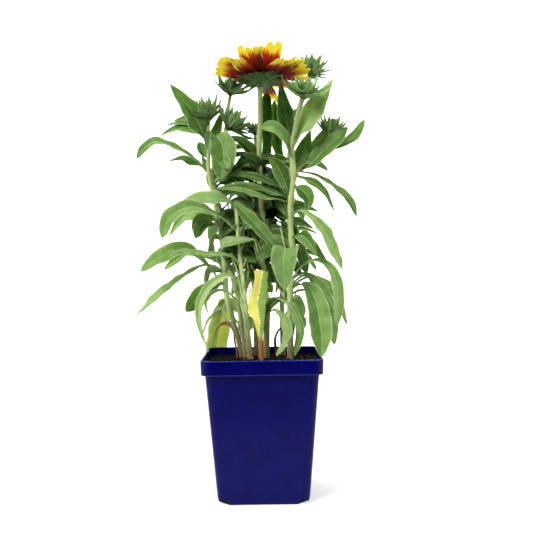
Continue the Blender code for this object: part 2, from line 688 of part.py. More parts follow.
def ray_floret(ray, finish):
    """One ray: narrow at its root, wide and cut into three teeth at its tip."""
    frame = head_frame()
    turn = math.radians(ray.azimuth)
    roll = math.radians(ray.roll)
    outward = Vector((math.cos(turn), math.sin(turn), 0.0))
    across = Vector((-math.sin(turn), math.cos(turn), 0.0))
    columns = len(RAY_TEETH)
    rows = ((0.0, 0.30), (0.30, 0.62), (0.72, 1.0), (1.0, 0.90))
    verts = []
    for side in (1.0, -1.0):
        for share, breadth in rows:
            for column in range(columns):
                across_share = 2.0 * column / (columns - 1) - 1.0
                reach = share * (RAY_TEETH[column] if share == 1.0 else 1.0)
                along = reach * (ray.length - RAY_ROOT)
                angle = math.radians(ray.raise_by + ray.curl * reach)
                radius = RAY_ROOT + along * math.cos(angle)
                groove = 0.5 if column % 2 else 0.0
                sag = 1.1 * abs(across_share) ** 2 * share
                beside = 0.5 * ray.width * breadth * across_share
                height = along * math.sin(angle) + groove * min(1.0, share * 3) - sag
                height += beside * math.sin(roll * share)
                place = outward * radius + across * beside * math.cos(roll * share)
                place.z = height + side * LEAF_THICKNESS / 2.0
                verts.append(frame @ place)
    layer = len(rows) * columns
    faces = []
    for row in range(len(rows) - 1):
        for column in range(columns - 1):
            a = row * columns + column
            b, c, d = a + 1, a + columns + 1, a + columns
            faces += [(a, b, c), (a, c, d)]
            faces += [(a + layer, c + layer, b + layer), (a + layer, d + layer, c + layer)]
    edge = [k for k in range(columns)]
    edge += [row * columns + columns - 1 for row in range(1, len(rows))]
    edge += [(len(rows) - 1) * columns + k for k in range(columns - 2, -1, -1)]
    edge += [row * columns for row in range(len(rows) - 2, 0, -1)]
    for one, two in zip(edge, edge[1:] + edge[:1]):
        faces += [(one, one + layer, two + layer), (one, two + layer, two)]
    return new_object("ray", verts, faces, finish)


def make_rays(finish):
    half = RAY_PLATE_THICKNESS / 2.0
    plate = turned("flower_rays", head_frame(),
                   [(RAY_PLATE_RADIUS, -half), (RAY_PLATE_RADIUS, half)], 20, finish)
    return boolean(plate, [ray_floret(ray, finish) for ray in RAYS], "UNION", "MANIFOLD")


def make_disc(finish):
    """The domed middle of the head, covered with small pointed florets."""
    base = RAY_PLATE_THICKNESS / 2.0 + GAP
    frame = head_frame()
    bottom = base + 0.9
    profile = [(7.0, base), (7.4, bottom)]
    for step in range(4):
        turn = 0.5 * math.pi * step / 3.4
        profile.append((DISC_RADIUS * 0.86 * math.cos(turn),
                        bottom + 1.2 + (DISC_HEIGHT - 2.5) * math.sin(turn)))
    dome = turned("flower_disc", frame, profile, 12, finish)
    golden = math.pi * (3.0 - math.sqrt(5.0))
    florets = []
    for number in range(FLORETS):
        share = (number + 0.5) / FLORETS
        lean = 0.5 * math.pi * 0.96 * math.sqrt(share)
        turn = number * golden
        outward = Vector((math.cos(turn) * math.sin(lean), math.sin(turn) * math.sin(lean),
                          math.cos(lean)))
        foot = Vector((outward.x * DISC_RADIUS * 0.80, outward.y * DISC_RADIUS * 0.80,
                       bottom + 1.2 + outward.z * (DISC_HEIGHT - 3.2)))
        tip = foot + outward * 3.4 + Vector((0.0, 0.0, 0.9))
        level = Vector((-outward.y, outward.x, 0.0)).normalized() * FLORET_RADIUS
        upright = outward.cross(level)
        ring = [frame @ (foot + level), frame @ (foot + upright), frame @ (foot - level),
                frame @ (foot - upright)]
        florets.append(pointed("floret", [ring], frame @ tip, finish))
    return boolean(dome, florets, "UNION", "MANIFOLD")


# ================================================================ stems
def arch_path(foot, arch):
    """Up and out from the stem, then down."""
    turn = math.radians(arch.azimuth)
    plan = Vector((math.cos(turn), math.sin(turn), 0.0))
    path = []
    for share in (0.0, 0.33, 0.66, 1.0):
        rise = arch.length * (arch.lift * share - arch.droop * share * share)
        path.append(foot + plan * arch.length * 0.86 * share + Vector((0.0, 0.0, rise)))
    return path


def stem_curve(stem):
    """The stem's centre line, with its straight root in the soil's hole."""
    first = Vector(stem.path[0])
    root = Vector((first.x, first.y, ROOT_BOTTOM))
    return Curve([root, *[Vector(p) for p in stem.path]])


def make_stem(name, stem, finish):
    """A stem with everything that grows from it, as one solid."""
    curve = stem_curve(stem)
    body = tube(name, curve, stem.radius, 6, 21.0, finish)
    pieces = []
    for leaf in stem.leaves:
        path = [curve.at_height(leaf.height), *[Vector(p) for p in leaf.path]]
        pieces.append(blade("leaf", path, leaf.width, leaf.roll, leaf.form, finish, leaf.facing))
    for arch in stem.arches:
        path = arch_path(curve.at_height(arch.height), arch)
        roll = arch.roll if arch.azimuth < 90 else -arch.roll
        pieces.append(blade("leaf", path, arch.width, roll, SPOON, finish))
    for bud in stem.buds:
        base = curve.at_height(bud.height)
        if bud.path:
            stalk = Curve([base, *[Vector(p) for p in bud.path]])
            pieces.append(tube("stalk", stalk, (stem.radius[1] * 1.1, 1.3), 6, 14.0, finish))
            base = Vector(bud.path[-1])
        pieces += flower_bud(base, bud.axis, bud.size, bud.spread, finish)
    if name == "flower_stem":
        pieces += involucre(finish)
    if not pieces:
        return body
    return boolean(body, pieces, "UNION", "MANIFOLD")


# ================================================================ pot and soil
def rounded_square(width, radius, height, steps=3):
    """Points round a square with round corners."""
    points = []
    half = width / 2.0
    for corner in range(4):
        middle = math.pi / 4.0 + corner * math.pi / 2.0
        centre = Vector((math.copysign(half - radius, math.cos(middle)),
                         math.copysign(half - radius, math.sin(middle)), height))
        for step in range(steps + 1):
            turn = middle + math.pi / 2.0 * (step / steps - 0.5)
            points.append(centre + Vector((math.cos(turn), math.sin(turn), 0.0)) * radius)
    return points


def wall_width(height):
    """The pot's outer width below the band."""
    top = RIM_WIDTH - 2.0 * BAND_PROUD
    return BASE_WIDTH + (top - BASE_WIDTH) * height / (POT_HEIGHT - BAND_HEIGHT)


def square_loft(name, rings, finish):
    """A solid through rounded squares, each given as (width, radius, height)."""
    verts = []
    for width, radius, height in rings:
        verts += rounded_square(width, radius, height)
    return new_object(name, verts, strip_faces(len(rings), len(verts) // len(rings)), finish)


def corner_wedges(inset, height, finish):
    """Four diagonal blocks that raise the corners of the pot's underside."""
    made = []
    for corner in range(4):
        turn = math.pi / 4.0 + corner * math.pi / 2.0
        outward = Vector((math.cos(turn), math.sin(turn), 0.0))
        across = Vector((-outward.y, outward.x, 0.0))
        near = NOTCH_START - inset
        verts = []
        for level, start in ((-2.0, near), (height - NOTCH_SLOPE, near),
                             (height, near + 1.0)):
            for along, side in ((start, -30.0), (start, 30.0), (near + 40.0, 30.0),
                                (near + 40.0, -30.0)):
                verts.append(outward * along + across * side + Vector((0.0, 0.0, level)))
        made.append(new_object("wedge", verts, strip_faces(3, 4), finish))
    return made


def drain_slots(finish):
    """One slot through each raised corner."""
    made = []
    for corner in range(4):
        turn = math.pi / 4.0 + corner * math.pi / 2.0
        outward = Vector((math.cos(turn), math.sin(turn), 0.0))
        across = Vector((-outward.y, outward.x, 0.0))
        middle = outward * (NOTCH_START + 2.2)
        verts = []
        for level in (NOTCH_HEIGHT - 4.0, NOTCH_HEIGHT + 5.0):
            for along, side in ((-0.5, -0.5), (-0.5, 0.5), (0.5, 0.5), (0.5, -0.5)):
                verts.append(middle + outward * along * DRAIN_LENGTH
                             + across * side * DRAIN_WIDTH + Vector((0.0, 0.0, level)))
        made.append(new_object("slot", verts, strip_faces(2, 4), finish))
    return made


def make_pot(finish):
    band_bottom = POT_HEIGHT - BAND_HEIGHT
    wall_top = wall_width(band_bottom)
    outer = [
        (BASE_WIDTH - 1.6, CORNER_RADIUS, 0.0),
        (BASE_WIDTH, CORNER_RADIUS, 1.0),
        (wall_top, CORNER_RADIUS, band_bottom),
        (RIM_WIDTH - 1.6, CORNER_RADIUS + 1.0, band_bottom),
        (RIM_WIDTH - 0.8, CORNER_RADIUS + 1.0, band_bottom + 1.2),
        (RIM_WIDTH, CORNER_RADIUS + 1.0, POT_HEIGHT - 1.0),
        (RIM_WIDTH - 1.2, CORNER_RADIUS + 1.0, POT_HEIGHT),
    ]
    shell = square_loft("pot", outer, finish)
    boolean(shell, corner_wedges(0.0, NOTCH_HEIGHT, finish), "DIFFERENCE")
    thick = 2.0 * POT_WALL
    ledge = band_bottom + POT_WALL
    inner = [
        (BASE_WIDTH - thick, CORNER_RADIUS - POT_WALL, POT_WALL),
        (wall_top - thick, CORNER_RADIUS - POT_WALL, ledge - 0.3),
        (RIM_WIDTH - thick, CORNER_RADIUS, ledge + 0.6),
        (RIM_WIDTH - thick, CORNER_RADIUS, POT_HEIGHT + 3.0),
    ]
    hollow = square_loft("hollow", inner, finish)
    boolean(hollow, corner_wedges(POT_WALL, NOTCH_HEIGHT + POT_WALL, finish), "DIFFERENCE")
    boolean(shell, [hollow], "DIFFERENCE")
    return boolean(shell, drain_slots(finish), "DIFFERENCE")


def soil_height(x, y):
    """Lumpy peat that rises a little towards the stems."""
    away = min(1.0, math.hypot(x, y) / 52.0)
    lump = noise.noise(Vector((x * 0.13, y * 0.13, 4.0)))
    fine = noise.noise(Vector((x * 0.31, y * 0.31, 9.0)))
    return SOIL_LEVEL + SOIL_MOUND * (1.0 - away ** 2) + SOIL_LUMPS * (lump + 0.6 * fine)


def make_soil(finish):
    band_bottom = POT_HEIGHT - BAND_HEIGHT
    clear = 2.0 * (POT_WALL + GAP)
    inside = CORNER_RADIUS - POT_WALL
    wall_top = wall_width(band_bottom)
    low = POT_WALL + GAP
    ledge = band_bottom + POT_WALL
    edge = RIM_WIDTH - clear - 0.2
    rings = [
        (BASE_WIDTH - clear, inside, low),
        (wall_top - clear - 0.2, inside, ledge - 0.3),
        (edge, inside + 1.0, ledge + 0.6 + 2.0 * GAP),
        (edge, inside + 1.0, SOIL_LEVEL - 1.0),
    ]
    verts = []
    for width, radius, height in rings:
        verts += rounded_square(width, radius, height)
    count = len(verts) // len(rings)
    outline = verts[-count:]
    for share in (0.93, 0.66, 0.36, 0.10):
        for point in outline:
            x, y = point.x * share, point.y * share
            verts.append(Vector((x, y, soil_height(x, y))))
    rows = len(verts) // count
    body = new_object("soil", verts, strip_faces(rows, count), finish)
    boolean(body, corner_wedges(POT_WALL + GAP, NOTCH_HEIGHT + POT_WALL + GAP, finish),
            "DIFFERENCE")
    return boolean(body, stem_holes(finish), "DIFFERENCE")


def stem_holes(finish):
    """A plain hole for the root of each stem."""
    made = []
    for stem in STEMS.values():
        first = stem.path[0]
        radius = stem.radius[0] + GAP + 0.25
        floor = Vector((first[0], first[1], SOIL_LEVEL - HOLE_DEPTH))
        roof = Vector((first[0], first[1], SOIL_LEVEL + 12.0))
        made.append(tube("hole", Curve([floor, roof]), (radius, radius), 8, 60.0, finish))
    return made


def main():
    clear_scene()
    finishes = make_materials()
    make_pot(finishes["pot"])
    make_soil(finishes["soil"])
    for name, stem in STEMS.items():
        make_stem(name, stem, finishes[stem.colour])
    make_rays(finishes["petal"])
    make_disc(finishes["disc"])


main()
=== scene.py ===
"""The looks of a blanket flower in its pot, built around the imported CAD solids.

Lengths are millimetres and turned into metres when a mesh is made.  Every leafy
stem, the flower head, the soil and the pot get fine surfaces that replace their
CAD nodes and keep their form.  The filler leaves inside the bush and the thin
stalks at its foot are in no CAD node.  +Z is up, +X right, -Y the front.
"""

import math
from collections import namedtuple

import bmesh
import bpy
import numpy as np
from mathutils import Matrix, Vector, noise

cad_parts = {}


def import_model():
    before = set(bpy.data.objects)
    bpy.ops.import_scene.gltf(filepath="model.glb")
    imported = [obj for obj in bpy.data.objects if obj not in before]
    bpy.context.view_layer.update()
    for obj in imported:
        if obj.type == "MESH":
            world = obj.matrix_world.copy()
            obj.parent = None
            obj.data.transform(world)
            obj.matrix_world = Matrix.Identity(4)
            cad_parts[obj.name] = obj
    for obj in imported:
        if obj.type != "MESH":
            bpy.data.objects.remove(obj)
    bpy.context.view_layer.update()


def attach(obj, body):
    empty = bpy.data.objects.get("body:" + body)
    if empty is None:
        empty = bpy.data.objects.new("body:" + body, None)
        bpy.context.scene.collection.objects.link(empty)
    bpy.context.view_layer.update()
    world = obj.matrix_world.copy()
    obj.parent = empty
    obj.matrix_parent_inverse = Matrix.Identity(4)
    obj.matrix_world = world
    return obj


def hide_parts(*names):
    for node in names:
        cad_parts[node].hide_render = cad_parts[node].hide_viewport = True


MM = 0.001
SEED = 11
GAP = 0.3                    # left between a piece and the one it lies against

# ---------------------------------------------------------------- the camera
CAMERA_PLACE = (5.5, -700.0, 223.5)
CAMERA_SENSOR = 36.0
CAMERA_LENS = 47.3
CAMERA_ROLL = 0.014          # radians

# ---------------------------------------------------------------- the lamps
LAMP_TARGET = (0.0, 0.0, 240.0)
LAMPS = {                    # place, width and power
    "key": ((-900.0, -1000.0, 1400.0), 700.0, 42.0),
    "fill": ((1200.0, -900.0, 900.0), 900.0, 13.0),
    "top": ((0.0, 200.0, 1700.0), 1000.0, 22.0),
}

# ---------------------------------------------------------------- the pot
POT_HEIGHT = 137.0
RIM_WIDTH = 115.0            # across the flats, over the band
BAND_HEIGHT = 14.0
BAND_PROUD = 4.0
BASE_WIDTH = 87.0
POT_WALL = 1.5
CORNER_RADIUS = 7.5
NOTCH_WIDTH = 12.5
NOTCH_HEIGHT = 5.0
NOTCH_START = (BASE_WIDTH - NOTCH_WIDTH) / math.sqrt(2.0)
NOTCH_SLOPE = 2.0
DRAIN_WIDTH = 5.0
DRAIN_LENGTH = 2.0
CORNER_STEPS = 10

# ---------------------------------------------------------------- the soil
SOIL_LEVEL = 129.0
SOIL_MOUND = 3.5
SOIL_LUMPS = 1.3
SOIL_GRAIN = 0.7             # height of the finest lumps
SOIL_RINGS = 64
SOIL_CRUMBS = 1500
SOIL_FIBRES = 150
FIBRE_TONE = 2.0             # crumbs reach from 0 to 1, so fibres come out palest
ROOT_BOTTOM = 116.0

# ---------------------------------------------------------------- the flower head
HEAD_CENTRE = Vector((2.5, -12.0, 410.0))
HEAD_TILT = 11.0             # degrees, away from the front
RAY_ROOT = 5.0
RAY_PLATE_THICKNESS = 1.6
RAY_THICKNESS = 0.35
DISC_RADIUS = 10.5
DISC_HEIGHT = 8.0
DISC_FLORETS = 230
BUD_FLORETS = 34
CUP_HAIRS = 500

# ---------------------------------------------------------------- blades and hairs
LEAF_THICKNESS = 0.32
LEAF_FOLD = 0.38
LEAF_SWAY = 8.0              # degrees a blade rocks from side to side along its length
LEAF_COLUMNS = 13
OFF_MIDRIB = 3.0             # mm from a midrib, where its pale colour has ended
RIB_DEPTH = 1.0              # how far the midrib stands out below, at the root
STEM_SIDES = 14
STEM_HAIRS_PER_MM = 13.0
EDGE_HAIRS_PER_MM = 1.5
HAIR_WIDTH = 0.07

# Outlines of a blade: width at the root, where it starts to widen, where it is
# widest, and two powers that draw the tip.  All are shares of length or width.
LANCE = (0.30, 0.00, 0.42, 1.5, 1.00)
SPOON = (0.18, 0.15, 0.70, 2.0, 0.70)
BROAD = (0.30, 0.00, 0.58, 2.2, 0.75)
LOBED = (0.26, 0.10, 0.62, 1.8, 0.85)
BLUNT = (0.30, 0.10, 0.58, 9.0, 0.20)
HEART = (0.60, 0.00, 0.42, 2.0, 0.80)
STRAP = (0.75, 0.00, 0.60, 5.0, 0.40)
BRACT = (0.85, 0.00, 0.28, 1.15, 1.00)

# Coarse teeth and tears: for each side, shares of the length and factors on its half width.
LEFT_TEETH = {
    LOBED: ((0.0, 0.47, 0.56, 0.63, 0.74, 0.84, 0.90, 0.96), (1.0, 1.0, 1.3, 0.85, 1.0, 0.95, 1.3, 1.0)),
    BLUNT: ((0.0, 0.30, 0.385, 0.40, 0.47, 0.58, 0.78, 0.90, 1.0),
            (0.8, 0.9, 0.85, 1.4, 1.15, 1.05, 0.82, 0.78, 1.0)),
}
RIGHT_TEETH = {
    LOBED: ((0.0, 0.40, 0.47, 0.52, 0.68, 0.78, 0.85, 1.0), (1.0, 1.0, 1.15, 1.0, 1.0, 1.25, 0.9, 1.0)),
    BLUNT: ((0.0, 0.39, 0.57, 0.78, 0.90, 1.0), (1.0, 0.95, 1.0, 0.82, 0.76, 0.9)),
}

# A leaf leaves its stem at a height, then runs through the points of its path.
# roll turns its face about its own midrib; facing, where given, is the plan
# direction (degrees) that its upper side is square to.  tone runs from 0, dark
# green, to 1, yellow-green.
Leaf = namedtuple("Leaf", "height path width roll form facing tone", defaults=(None, None))
Arch = namedtuple("Arch", "height azimuth length width lift droop roll", defaults=(0.75, 0.95, 15))
Bud = namedtuple("Bud", "height path axis size spread")
Stem = namedtuple("Stem", "path radius leaves arches buds colour", defaults=("stem",))
Ray = namedtuple("Ray", "azimuth raise_by curl length width roll", defaults=(0,))

STEMS = {
    "left_stem": Stem(
        path=[(-21, 6, 138), (-35, 4, 194), (-37, 3, 229), (-42, 2, 271), (-48, 1, 301),
              (-51, 1, 320), (-51, 1, 341), (-51, 0, 372)],
        radius=(2.8, 1.6),
        leaves=[
            Leaf(341, [(-58, -3, 362), (-68, -6, 380), (-88, -8, 406)], 24, -78, LANCE, tone=0.36),
            Leaf(318, [(-69, -5, 335), (-100, -12, 348), (-112, -14, 342), (-120, -14, 331)],
                 14, -45, SPOON, tone=0.43),
            Leaf(322, [(-69, 5, 330), (-78, 7, 334), (-94, 9, 331)], 10, -50, LANCE, tone=0.45),
            Leaf(351, [(-70, 8, 365), (-91, 12, 363), (-102, 14, 357)], 17, -55, LANCE, tone=0.42),
            Leaf(359, [(-65, 8, 368), (-81, 14, 371), (-97, 18, 370)], 12, -45, LANCE, tone=0.38),
            Leaf(365, [(-65, 12, 375), (-89, 22, 375)], 15, -62, LANCE, tone=0.35),
            Leaf(331, [(-56, 3, 339), (-61, 6, 350)], 10, -65, BROAD, tone=0.35),
            Leaf(316, [(-54, 6, 326), (-59, 10, 338)], 7, -50, LANCE, tone=0.3),
            Leaf(338, [(-48, -7, 350), (-41, -12, 352), (-35, -16, 336), (-38, -17, 309)],
                 26, 0, BROAD, 270, tone=0.54),
            Leaf(204, [(-58, -6, 231), (-75, -12, 243), (-101, -18, 233), (-117, -20, 220)],
                 16, -62, SPOON, tone=0.6),
            Leaf(226, [(-62, 11, 236), (-76, 15, 238), (-100, 20, 222)], 13, -52, SPOON, tone=0.54),
            Leaf(220, [(-55, 0, 226), (-78, 0, 215), (-103, 0, 197), (-127, 0, 175)],
                 12, -40, LOBED, tone=0.7),
            Leaf(268, [(-61, 8, 280), (-77, 12, 276), (-94, 14, 255)], 20, -66, LANCE, tone=0.6),
            Leaf(269, [(-56, -6, 272), (-66, -10, 258)], 15, -65, BROAD, tone=0.5),
            Leaf(264, [(-56, -9, 267), (-64, -14, 252)], 13, -60, BROAD, tone=0.45),
            Leaf(252, [(-48, 9, 251), (-47, 11, 228)], 19, -80, BROAD, tone=0.45),
            Leaf(234, [(-38, -11, 245), (-23, -20, 249), (-5, -24, 250)], 12, 70, LANCE, tone=0.72),
            Leaf(208, [(-55, -4, 200), (-75, -8, 180)], 18, -74, BROAD, tone=0.32),
            Leaf(216, [(-50, 9, 221), (-58, 13, 207)], 12, -60, BROAD, tone=0.5),
        ],
        arches=[],
        buds=[Bud(372, [], (-0.2, 0.0, 1.0), 1.6, 0.4)],
    ),
    "inner_stem": Stem(
        path=[(-17, -2, 139), (-23, 2, 190), (-33, 7, 229), (-39, 8, 276), (-45, 8, 302),
              (-46, 8, 332), (-35, 4, 357), (-30, 1, 386), (-28, -2, 396)],
        radius=(2.4, 1.5),
        leaves=[
            Leaf(342, [(-42, 6, 362), (-35, 5, 383)], 14, 72, LANCE, tone=0.4),
            Leaf(346, [(-24, 6, 351), (-8, 3, 354)], 8, 45, LANCE, tone=0.35),
            Leaf(343, [(-20, 14, 354), (-3, 17, 354)], 8, 45, LANCE, tone=0.32),
            Leaf(338, [(-22, 14, 346), (-9, 16, 342)], 8, 60, LANCE, tone=0.28),
        ],
        arches=[
            Arch(318, 98, 50, 12),
            Arch(292, 150, 56, 12),
            Arch(262, 110, 58, 13),
            Arch(236, 102, 56, 12),
        ],
        buds=[Bud(396, [], (0.2, -0.14, 1.0), 1.45, 0.65),
              Bud(354, [(-31, 2, 363)], (0.65, 0.1, 0.8), 1.65, 0.5)],
    ),
    "flower_stem": Stem(
        path=[(4, -2, 135), (5, -1, 187), (1, 0, 228), (2, 0, 275), (0, -1, 316), (0, -3, 340),
              (1, -6, 369), (2, -12, 404)],
        radius=(3.5, 2.2),
        leaves=[
            Leaf(329, [(-8, -2, 339), (-19, -4, 349), (-30, -5, 354)], 14, -60, LANCE, tone=0.15),
            Leaf(322, [(-12, -7, 333), (-24, -10, 337)], 10, -55, LANCE, tone=0.2),
            Leaf(311, [(-3, -7, 326), (-11, -9, 330), (-30, -8, 316)], 14, -60, LANCE, tone=0.1),
            Leaf(234, [(16, 5, 250), (38, 9, 261), (54, 11, 258), (60, 12, 252)], 11, 45, LANCE,
                 tone=0.5),
            Leaf(187, [(12, -8, 193), (30, -20, 183), (37, -31, 162), (31, -40, 139.5)],
                 9, 50, SPOON, tone=0.6),
            Leaf(175, [(12, -10, 181), (23, -22, 171), (25, -36, 156), (14, -44, 139.5)],
                 17, 65, SPOON, tone=0.72),
            Leaf(240, [(-9, 6, 252), (-21, 8, 259)], 13, -62, LANCE, tone=0.2),
            Leaf(258, [(12, 6, 276), (24, 6, 284)], 11, 55, LANCE, tone=0.2),
        ],
        arches=[],
        buds=[],
    ),
    "right_stem": Stem(
        path=[(28, -6, 139), (28.5, -8, 187), (29, -9, 220), (31, -10, 244), (29, -12, 277),
              (33, -14, 308), (32, -18, 340), (35, -22, 355), (39, -28, 373), (43, -31, 385)],
        radius=(3.3, 2.0),
        leaves=[
            Leaf(292, [(17, -15, 302), (-10, -18, 312), (-31, -15, 313), (-47, -12, 303)],
                 10, -45, LANCE, tone=0.3),
            Leaf(289, [(12, -17, 296), (-7, -21, 302), (-24, -24, 306)], 11, -55, LANCE, tone=0.42),
            Leaf(286, [(2, -21, 294), (-19, -27, 300), (-44, -28, 299)], 13, -70, LANCE, tone=0.5),
            Leaf(290, [(24, -11, 308), (18, -9, 322), (10, -8, 331)], 16, -68, BROAD, tone=0.38),
            # Painted light: this leaf's tone is raised against the shadow that the bud above casts on it.
            Leaf(326, [(26, -24, 343), (20, -26, 353), (12, -27, 358), (2, -27, 357)], 17, -62, BROAD,
                 tone=0.62),
            Leaf(343, [(27, -14, 367), (21, -20, 404)], 17, 0, LANCE, 82, tone=0.05),
            # This leaf's tone is partly painted light, raised against the shade from the bud and rays above
            # it.
            Leaf(338, [(42, -22, 355), (53, -25, 373), (73, -26, 405)], 24, 72, LANCE, tone=0.78),
            Leaf(314, [(41, -12, 330), (51, -10, 358)], 17, 68, LANCE, tone=0.25),
            Leaf(302, [(40, -19, 298), (47, -21, 289), (45, -21, 275)], 15, 64, LANCE, tone=0.35),
            Leaf(269, [(36, -18, 277), (46, -24, 274), (62, -30, 256), (78, -34, 219)],
                 12, 52, LOBED, tone=0.7),
            Leaf(251, [(37, -5, 247), (41, -2, 231), (46, 0, 216)], 17, 74, BROAD, tone=0.3),
            Leaf(253, [(38, -13, 254), (51, -15, 242), (66, -16, 226)], 13, 54, LANCE, tone=0.35),
            Leaf(201, [(40, -14, 206), (50, -22, 197), (56, -36, 164), (56, -43.5, 138)],
                 24, 0, BROAD, 285, tone=0.56),
            Leaf(206, [(44, -8, 214), (52, -10, 203), (67, -12, 176), (71, -14, 146)],
                 14, 57, SPOON, tone=0.6),
            Leaf(208, [(39, -13, 223), (56, -17, 229), (70, -20, 218), (75, -22, 191),
                       (73, -22, 165)], 12, 58, SPOON, tone=0.72),
            Leaf(210, [(42, -6, 216), (57, -3, 206), (68, 0, 189), (72, 1, 173)], 13, 55, LOBED,
                 tone=0.62),
            Leaf(204, [(51, 5, 212), (73, 12, 197), (87, 15, 163)], 15, 57, SPOON, tone=0.6),
            Leaf(188, [(35, -14, 192), (39, -17, 171)], 13, 75, BROAD, tone=0.68),
            Leaf(176, [(30, -13, 171), (31, -14, 156)], 7, 60, LANCE, tone=0.5),
            Leaf(314, [(47, -14, 321), (61, -17, 334), (74, -19, 346), (86, -19, 358)],
                 17, 72, BROAD, tone=0.5),
            Leaf(321, [(48, -12, 327), (59, -14, 345), (70, -16, 360)], 13, 72, BROAD, tone=0.5),
            Leaf(319, [(58, -9, 334), (78, -8, 342), (93, -6, 350), (105, -4, 368)],
                 12, 52, SPOON, tone=0.5),
            Leaf(318, [(56, -8, 313), (79, -4, 298), (90, -3, 287), (96, -2, 272)],
                 13, 50, SPOON, tone=0.45),
            Leaf(314, [(55, -15, 303), (64, -16, 294), (73, -17, 275)], 11, 50, LANCE, tone=0.45),
            Leaf(232, [(20, -22, 238), (10, -29, 247), (-5, -31, 264), (-25, -28, 286)],
                 17, -66, BROAD, tone=0.48),
            Leaf(236, [(25, -25, 241), (22, -34, 233), (22, -37, 217), (23, -38, 201)],
                 25, 0, HEART, 270, tone=0.62),
        ],
        arches=[],
        buds=[Bud(385, [], (0.2, -0.1, 1.0), 1.65, 0.8),
              Bud(306, [(39, -14, 320), (48, -12, 326), (59, -10, 337), (69, -8, 353)],
                  (0.3, 0.0, 0.9), 1.5, 0.4)],
    ),
    "young_shoot": Stem(
        path=[(-12, -12, 138), (-15, -12, 171), (-17, -12, 201), (-21, -12, 240),
              (-24, -10, 286)],
        radius=(2.8, 1.3),
        leaves=[
            Leaf(258, [(-35, -16, 270), (-55, -22, 280), (-69, -25, 282), (-87, -29, 272),
                       (-94, -31, 252)], 17, -60, SPOON, tone=0.6),
            Leaf(280, [(-31, -12, 288), (-47, -17, 291), (-67, -19, 289), (-83, -20, 280)],
                 17, -62, LANCE, tone=0.72),
            Leaf(224, [(-28, -16, 234), (-51, -20, 236), (-79, -24, 240), (-90, -25, 233)],
                 9, -38, LANCE, tone=0.6),
            Leaf(197, [(-28, -17, 214), (-45, -22, 210), (-58, -27, 193), (-60, -30, 172),
                       (-51, -34, 143)], 9, -53, LANCE, tone=0.8),
            Leaf(184, [(-36, -17, 200), (-48, -19, 198), (-54, -20, 190), (-50, -20, 173)],
                 6, -35, LANCE, tone=0.8),
        ],
        arches=[],
        buds=[],
    ),
    "back_stem": Stem(
        path=[(21, 16, 138), (21, 19, 189), (22, 22, 251), (27, 24, 302), (31, 24, 344),
              (38, 27, 377), (46, 32, 404), (53, 37, 424)],
        radius=(2.7, 1.7),
        leaves=[
            Leaf(318, [(20, 24, 341), (16, 24, 366), (16, 23, 395)], 13, 0, BROAD, 90, tone=0.15),
            Leaf(272, [(38, 26, 285), (62, 30, 280)], 14, 48, LANCE, tone=0.3),
            Leaf(255, [(36, 26, 269), (56, 30, 262)], 15, 48, LANCE, tone=0.3),
            Leaf(218, [(36, 26, 236), (56, 30, 236), (70, 33, 221)], 9, 40, LANCE, tone=0.3),
        ],
        arches=[
            Arch(168, 62, 62, 14),
            Arch(188, 20, 70, 13),
            Arch(232, 48, 66, 13),
            Arch(250, 78, 62, 13),
            Arch(286, 66, 60, 13),
            Arch(326, 88, 54, 12),
        ],
        buds=[Bud(424, [], (0.3, 0.1, 1.0), 1.75, 0.6),
              Bud(346, [(34, 19, 366), (36, 16, 377)], (0.1, -0.2, 1.0), 0.6, 0.4)],
    ),
    "middle_stem": Stem(
        path=[(-6, 14, 138), (-7, 20, 228), (-4, 20, 302), (-4, 18, 336), (-4, 14, 359)],
        radius=(2.6, 1.4),
        leaves=[
            Leaf(322, [(6, 19, 334), (8, 17, 362), (8, 10, 399)], 11, 0, STRAP, 90, tone=0.0),
            Leaf(306, [(-14, 18, 316), (-28, 18, 318), (-38, 18, 308)], 14, -65, LANCE, tone=0.15),
            Leaf(288, [(5, 16, 300), (15, 14, 312), (18, 12, 326)], 14, 70, LANCE, tone=0.2),
            Leaf(276, [(-14, 19, 288), (-25, 20, 290), (-30, 20, 280)], 14, -70, LANCE, tone=0.18),
            Leaf(258, [(4, 17, 270), (13, 15, 282), (17, 14, 298)], 14, 75, LANCE, tone=0.15),
            Leaf(244, [(-14, 17, 258), (-23, 17, 270), (-25, 16, 284)], 14, -75, LANCE, tone=0.15),
            Leaf(226, [(2, 15, 240), (11, 13, 250), (22, 11, 246)], 14, 70, LANCE, tone=0.2),
        ],
        arches=[
            Arch(166, 98, 62, 15),
            Arch(206, 116, 66, 14),
            Arch(288, 98, 58, 13),
            Arch(308, 128, 54, 12),
            Arch(330, 108, 48, 11),
        ],
        buds=[Bud(359, [], (0.0, 0.0, 1.0), 0.95, 0.35)],
    ),
    "back_shoot": Stem(
        path=[(-18, 26, 138), (-21, 28, 160), (-26, 30, 186)],
        radius=(2.0, 1.5),
        leaves=[
            # Painted light: this leaf stands in shade, and its tone of 1.0, the palest, stands for light
            # shining through it.
            Leaf(178, [(-36, 42, 192), (-43, 56, 177), (-50, 66, 142), (-60, 72, 97)],
                 24, 0, BROAD, 278, tone=1.0),
            Leaf(160, [(-40, 36, 180), (-54, 42, 171), (-66, 46, 147)], 12, -30, SPOON, tone=0.8),
        ],
        arches=[
            Arch(180, 128, 52, 13),
        ],
        buds=[],
    ),
    "yellow_leaf": Stem(
        path=[(-1, -16, 137), (-1, -15, 151)],
        radius=(3.2, 2.0),
        leaves=[
            Leaf(144, [(-2, -15, 161), (-3, -14, 176), (-4, -13, 189), (-1, -13, 204),
                       (1, -11, 220)], 17, 0, BLUNT, 90, tone=0.5),
        ],
        arches=[],
        buds=[],
        colour="yellow",
    ),
    "dried_leaf": Stem(
        path=[(-26, 14, 137), (-28, 15, 148)],
        radius=(1.0, 0.9),
        leaves=[
            Leaf(146, [(-32, 18, 164), (-45, 22, 162), (-52, 24, 141)], 6, -40, LANCE, tone=0.5),
        ],
        arches=[],
        buds=[],
        colour="dried",
    ),
    "dried_stalk": Stem(
